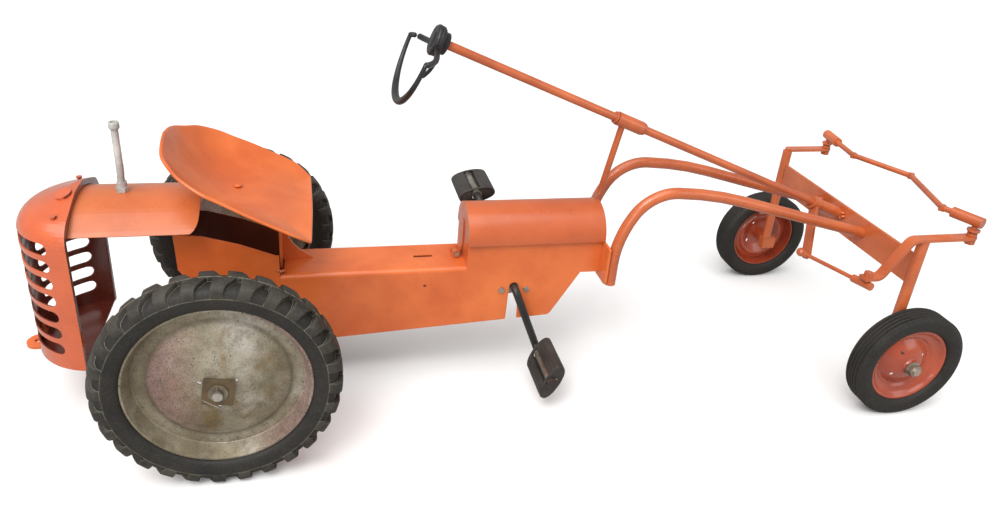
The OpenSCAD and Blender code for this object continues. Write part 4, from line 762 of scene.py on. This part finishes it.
def exhaust():
    """A thin pipe, crumpled near its foot, with a small cap."""
    rng = random.Random(4)
    dents = [[rng.uniform(-1, 1) for k in range(PIPE_SIDES)] for i in range(DENT_ROWS)]
    path = smooth_path([at(EXHAUST_X + x, y, z) for x, y, z in PIPE_BENDS], 9)

    def wobble(i, k):
        low = max(0.0, 1 - abs(i - CRUMPLED_ROW) / CRUMPLED_HALF)
        return (CRUMPLED_SHARE * low + ROUGH_SHARE) * dents[i][k]

    points, faces = joined([sweep(path, PIPE_R, PIPE_SIDES, wobble), lathe_up(CAP, EXHAUST_X, 0)])
    mesh = mesh_of("visual_exhaust_pipe", points, faces)
    add("visual_exhaust_pipe", mesh, "frame", "silver_paint", ("exhaust_pipe",))


exhaust()


# Rear wheels
FOLD = [(103.0, -4.4), (103.4, -3.4), (104.4, -2.9), (105.4, -2.6), (106.2, -2.8)]


def fold_ring(name, side, body):
    """The small raised fold where the wheel's flange meets its flat ring."""
    points, faces = lathe(FOLD, rear_centre(side), side, REAR_STEPS, closed=False)
    add(name, mesh_of(name, points, faces), body, "worn_grey_paint")


fold_ring("fold_right", -1, "rear_axle")
fold_ring("fold_left", 1, "rear_left_wheel")

COTTER_WIRE = [(-17, -232, 177), (-19.4, -236, 175.6), (-27, -236.5, 165.8), (-22.2, -237, 154.7),
               (-12.5, -237, 146.1), (-4.8, -237, 140.7), (2, -236, 135.2), (3, -232, 133.5)]
WIRE_R = 0.0005

cotter_points, cotter_faces = sweep(smooth_path([at(*q) for q in COTTER_WIRE], 6), WIRE_R, 8)
add("cotter_wire", mesh_of("cotter_wire", cotter_points, cotter_faces), "rear_axle", "bare_steel")


# Front wheels: the disc's outline, as radius and way out from the middle of the wheel
DISC_BORE_R = 6.05
DISC_HUB_R = 11.05
DISC_FACE = [(FRONT_RIM_R, -FRONT_RIM_HALF), (FRONT_RIM_R, FRONT_RIM_HALF), (62, 12.4), (60.2, 12),
             (58.8, 10.6), (56.5, 7.5), (53.5, 5), (50.5, 4), (47, 3.4), (45, 1.6), (43, -0.6), (41, -1),
             (38, 0.8), (34, 4.5), (28, 8.5), (22, 11), (17, 12.2), (13.5, 12.8), (12, 14)]
DISC_HUB = [(DISC_HUB_R, 18), (DISC_BORE_R, 18), (DISC_BORE_R, -16), (DISC_HUB_R, -16)]
DISC_BACK = [(12, 10.6), (17, 10.2), (22, 9), (28, 6.4), (34, 2.4), (38, -1.2), (41, -3), (44, -2.6),
             (47, 1.2), (50.5, 2), (54.5, 3.2), (58, 6), (61.2, 7), (61.2, -FRONT_RIM_HALF)]

# The disc's round holes, in metres
HOLE_CIRCLE_R = 0.028
HOLE_R = 0.003
HOLE_Y = 0.0075
HOLE_DEPTH = 0.012
HOLE_COUNT = 4
FIRST_HOLE_DEG = 35


def hole_cutter(centre, side):
    """Short rods in the places of the disc's holes."""
    drill = bmesh.new()
    across = Matrix.Rotation(math.pi / 2, 4, "X")
    for k in range(HOLE_COUNT):
        a = math.radians(360 / HOLE_COUNT * k + FIRST_HOLE_DEG)
        spot = centre + Vector((HOLE_CIRCLE_R * math.cos(a), side * HOLE_Y, HOLE_CIRCLE_R * math.sin(a)))
        bmesh.ops.create_cone(drill, cap_ends=True, segments=24, radius1=HOLE_R, radius2=HOLE_R,
                              depth=HOLE_DEPTH, matrix=Matrix.Translation(spot) @ across)
    holes = bpy.data.meshes.new("holes")
    drill.to_mesh(holes)
    drill.free()
    cutter = bpy.data.objects.new("holes", holes)
    bpy.context.collection.objects.link(cutter)
    return cutter


def front_disc(node, side, body):
    """A pressed disc with a domed middle, a rolled rim and four round holes."""
    centre = front_centre(side)
    points, faces = lathe(DISC_FACE + DISC_HUB + DISC_BACK, centre, side, FRONT_STEPS)
    mesh = mesh_of("visual_" + node, points, faces)
    obj = add("visual_" + node, mesh, body, ("orange_paint", DISC_PAINT), (node,))
    cutter = hole_cutter(centre, side)
    cut = obj.modifiers.new("cut", "BOOLEAN")
    cut.object = cutter
    cut.solver = "EXACT"
    bpy.context.view_layer.update()
    done = bpy.data.meshes.new_from_object(obj.evaluated_get(bpy.context.evaluated_depsgraph_get()))
    obj.modifiers.clear()
    obj.data = done
    bpy.data.objects.remove(cutter)
    for poly in obj.data.polygons:
        poly.use_smooth = True
    edges = obj.modifiers.new("edges", "EDGE_SPLIT")
    edges.split_angle = math.radians(40)


front_disc("front_disc_right", -1, "front_wheel_right")
front_disc("front_disc_left", 1, "front_wheel_left")


# Steering wheel
SHAFT_FOOT = Vector((0.58398, 0, 0.24417))
SHAFT_L = 0.765
ALONG_SHAFT = Vector((-0.9233873, 0, 0.3838696))
ACROSS_SHAFT = Vector((0.3838696, 0, 0.9233873))

# The rim's places in millimetres, and the radius of its tube in metres
RIM_HALF_W = 82
RIM_TOP = -20
RIM_DROP = 76
RIM_Z = 15
RIM_THIN = 0.0031
RIM_SWELL = 0.0024
RIM_STEPS = 48

# The spokes' paths, each with its radius in metres, and the hub's outline as radius and height
NEAR_SPOKE = [(-6, -12, -6), (-12, -32, -5), (-17, -52, -2), (-20, -70, 6), (-21, -82, 14)]
NEAR_BRANCH = [(-17, -53, -2), (-29, -63, 3), (-37, -73, 10), (-38, -79, 15)]
FAR_SPOKE = [(-6, 12, -6), (-10, 30, -4), (-12.5, 46, 0), (-14.5, 61, 6)]
RIM_TAB = [(-21, 82, 15), (-18.5, 76, 13), (-17, 71, 11)]
SPOKES = ((NEAR_SPOKE, 0.0040), (NEAR_BRANCH, 0.0027), (FAR_SPOKE, 0.0044), (RIM_TAB, 0.0038))
HUB = [(5, -20), (14.5, -19.8), (16, -18.6), (16.2, -12.5), (19, -11.6), (21.6, -9), (22.2, -5), (21.4, -4),
       (22.6, -2.8), (22.4, -0.6), (20.6, 1.4), (16, 2.2), (14.6, 1.2), (12.8, 1.4), (11.4, 3), (6, 3.6),
       (0.1, 3.7)]
HUB_STEPS = 56


def wheel_spot(x, y, z):
    """A place on the wheel: x across the shaft and up, y to the left, z along the shaft."""
    centre = SHAFT_FOOT + SHAFT_L * ALONG_SHAFT
    return centre + (x * ACROSS_SHAFT + z * ALONG_SHAFT) / 1000 + Vector((0, y / 1000, 0))


def wheel_rim():
    """The lower half of a rim, thick at the bottom."""
    path = []
    for k in range(RIM_STEPS + 1):
        a = math.pi * k / RIM_STEPS
        path.append(wheel_spot(RIM_TOP - RIM_DROP * math.sin(a), -RIM_HALF_W * math.cos(a), RIM_Z))
    return sweep(path, lambda f: RIM_THIN + RIM_SWELL * math.sin(math.pi * f) ** 2, 14)


def wheel_hub():
    """A stepped hub, a little out of round."""
    points = []
    for i in range(HUB_STEPS):
        a = 2 * math.pi * i / HUB_STEPS
        uneven = 1 - 0.018 * (1 + math.sin(5 * a)) * (1 + math.sin(3 * a + 1)) / 2
        points += [wheel_spot(r * uneven * math.cos(a), r * uneven * math.sin(a), z) for r, z in HUB]
    return points, skin(HUB_STEPS, len(HUB), False, wrap=True)


def steering_wheel():
    """A half rim on two bent spokes. The near one forks, the far one stops just short of the rim's tab."""
    parts = [wheel_rim()]
    for path, radius in SPOKES:
        parts.append(sweep(smooth_path([wheel_spot(*q) for q in path], 7), radius, 12))
    parts.append(wheel_hub())
    points, faces = joined(parts)
    mesh = mesh_of("visual_steering_wheel", points, faces)
    add("visual_steering_wheel", mesh, "steering", "black_plastic", ("steering_wheel",))


steering_wheel()


# Welds, each lump as its place and its radius
WELDS = (
    ("seat_weld", 5, [(68, -40.6, 212, 2.6), (72, -40.8, 210.4, 2.3), (75, -40.6, 211.6, 1.8)]),
    ("column_weld", 6, [(990, 42, 261, 4.6), (990.5, 41.4, 256, 4), (990, 41.6, 246, 4.8),
                        (991, 40.8, 242, 4)]),
    ("tube_weld", 7, [(998, -62, 254, 4.4), (999, -56, 251, 4.8), (999, -53, 245, 4.2),
                      (999, -61, 243, 4.4), (999, -65, 248, 3.8)]),
    ("far_tube_weld", 8, [(998, -10, 259, 3.6), (999, -5, 255, 4), (999, -9, 250, 3.8),
                          (999, -13, 254, 3.4)]))


def weld(name, seed, spots):
    """Small lumps of weld, each a squashed ball with a rough skin."""
    rng = random.Random(seed)
    work = bmesh.new()
    for x, y, z, r in spots:
        made = bmesh.ops.create_icosphere(work, subdivisions=3, radius=r / 1000)["verts"]
        wide = Vector((rng.uniform(0.9, 1.5), rng.uniform(0.8, 1.1), rng.uniform(0.6, 0.9)))
        for v in made:
            squashed = Vector(a * b for a, b in zip(v.co, wide))
            v.co = squashed * (1 + rng.uniform(-0.05, 0.05)) + at(x, y, z)
    mesh = bpy.data.meshes.new(name)
    work.to_mesh(mesh)
    work.free()
    add(name, mesh, "frame", ("orange_paint", LINK_PAINT))


for name, seed, spots in WELDS:
    weld(name, seed, spots)


# Stage and light
FLOOR_HALF = 30
FLOOR_SEEN = ((0.9, 0.9, 0.9), (0.88, 0.88, 0.88))
FLOOR_LIT = (0.42, 0.41, 0.4)
SKY_SEEN = (0.97, 0.97, 0.97, 1)
SKY_LIT = (1.0, 0.985, 0.965, 1)
SKY_STRENGTH = 0.5

# Each lamp's name, place, aim, size, power and colour
LAMPS = (
    ("key", (-1.2, -1.6, 2.6), (0, 0, 0.2), 1.2, 36, (1, 0.98, 0.95)),
    ("low", (-1.5, -2.1, 0.8), (-0.5, 0, 0.25), 0.8, 12, (1, 1, 1)),
    ("fill", (2.2, -2.0, 1.6), (0.2, 0, 0.2), 1.6, 12, (0.97, 0.98, 1)))
SUN_AIM = Vector((0.3, 0.35, -1))
SUN_POWER = 2.3
SUN_WIDTH_DEG = 70


def make_stage():
    """A floor that looks pale to the camera and throws back less light than that onto the part."""
    mesh = bpy.data.meshes.new("floor")
    turns = ((-1, -1), (1, -1), (1, 1), (-1, 1))
    mesh.from_pydata([(FLOOR_HALF * x, FLOOR_HALF * y, 0) for x, y in turns], [], [(0, 1, 2, 3)])
    floor = bpy.data.objects.new("floor", mesh)
    bpy.context.collection.objects.link(floor)
    g = Graph("floor")
    pale = g.mix(g.band(g.noise(3, 3), 0.3, 0.7), *FLOOR_SEEN)
    seen = g.tree.nodes.new("ShaderNodeLightPath").outputs["Is Camera Ray"]
    dress(floor, g.finish(g.mix(seen, FLOOR_LIT, pale), 0.9))


def make_world(scene):
    """A sky that looks pale to the camera and lights the part at a lower strength."""
    world = bpy.data.worlds.new("world")
    scene.world = world
    world.use_nodes = True
    tree = world.node_tree
    tree.nodes.clear()
    out = tree.nodes.new("ShaderNodeOutputWorld")
    seen = tree.nodes.new("ShaderNodeBackground")
    seen.inputs["Color"].default_value = SKY_SEEN
    lit = tree.nodes.new("ShaderNodeBackground")
    lit.inputs["Color"].default_value = SKY_LIT
    lit.inputs["Strength"].default_value = SKY_STRENGTH
    path = tree.nodes.new("ShaderNodeLightPath")
    mix = tree.nodes.new("ShaderNodeMixShader")
    tree.links.new(path.outputs["Is Camera Ray"], mix.inputs["Fac"])
    tree.links.new(lit.outputs[0], mix.inputs[1])
    tree.links.new(seen.outputs[0], mix.inputs[2])
    tree.links.new(mix.outputs[0], out.inputs["Surface"])


def lamp(name, kind, power, aim):
    """A lamp that looks along aim."""
    data = bpy.data.lights.new(name, kind)
    data.energy = power
    obj = bpy.data.objects.new(name, data)
    bpy.context.collection.objects.link(obj)
    obj.rotation_euler = aim.to_track_quat("-Z", "Y").to_euler()
    return obj


def make_light():
    scene = bpy.context.scene
    scene.view_settings.view_transform = "Standard"
    make_world(scene)
    for name, place, aim, size, power, color in LAMPS:
        area = lamp(name, "AREA", power, Vector(aim) - Vector(place))
        area.location = place
        area.data.size = size
        area.data.color = color
    sun = lamp("sky", "SUN", SUN_POWER, SUN_AIM)
    sun.data.angle = math.radians(SUN_WIDTH_DEG)


make_stage()
make_light()
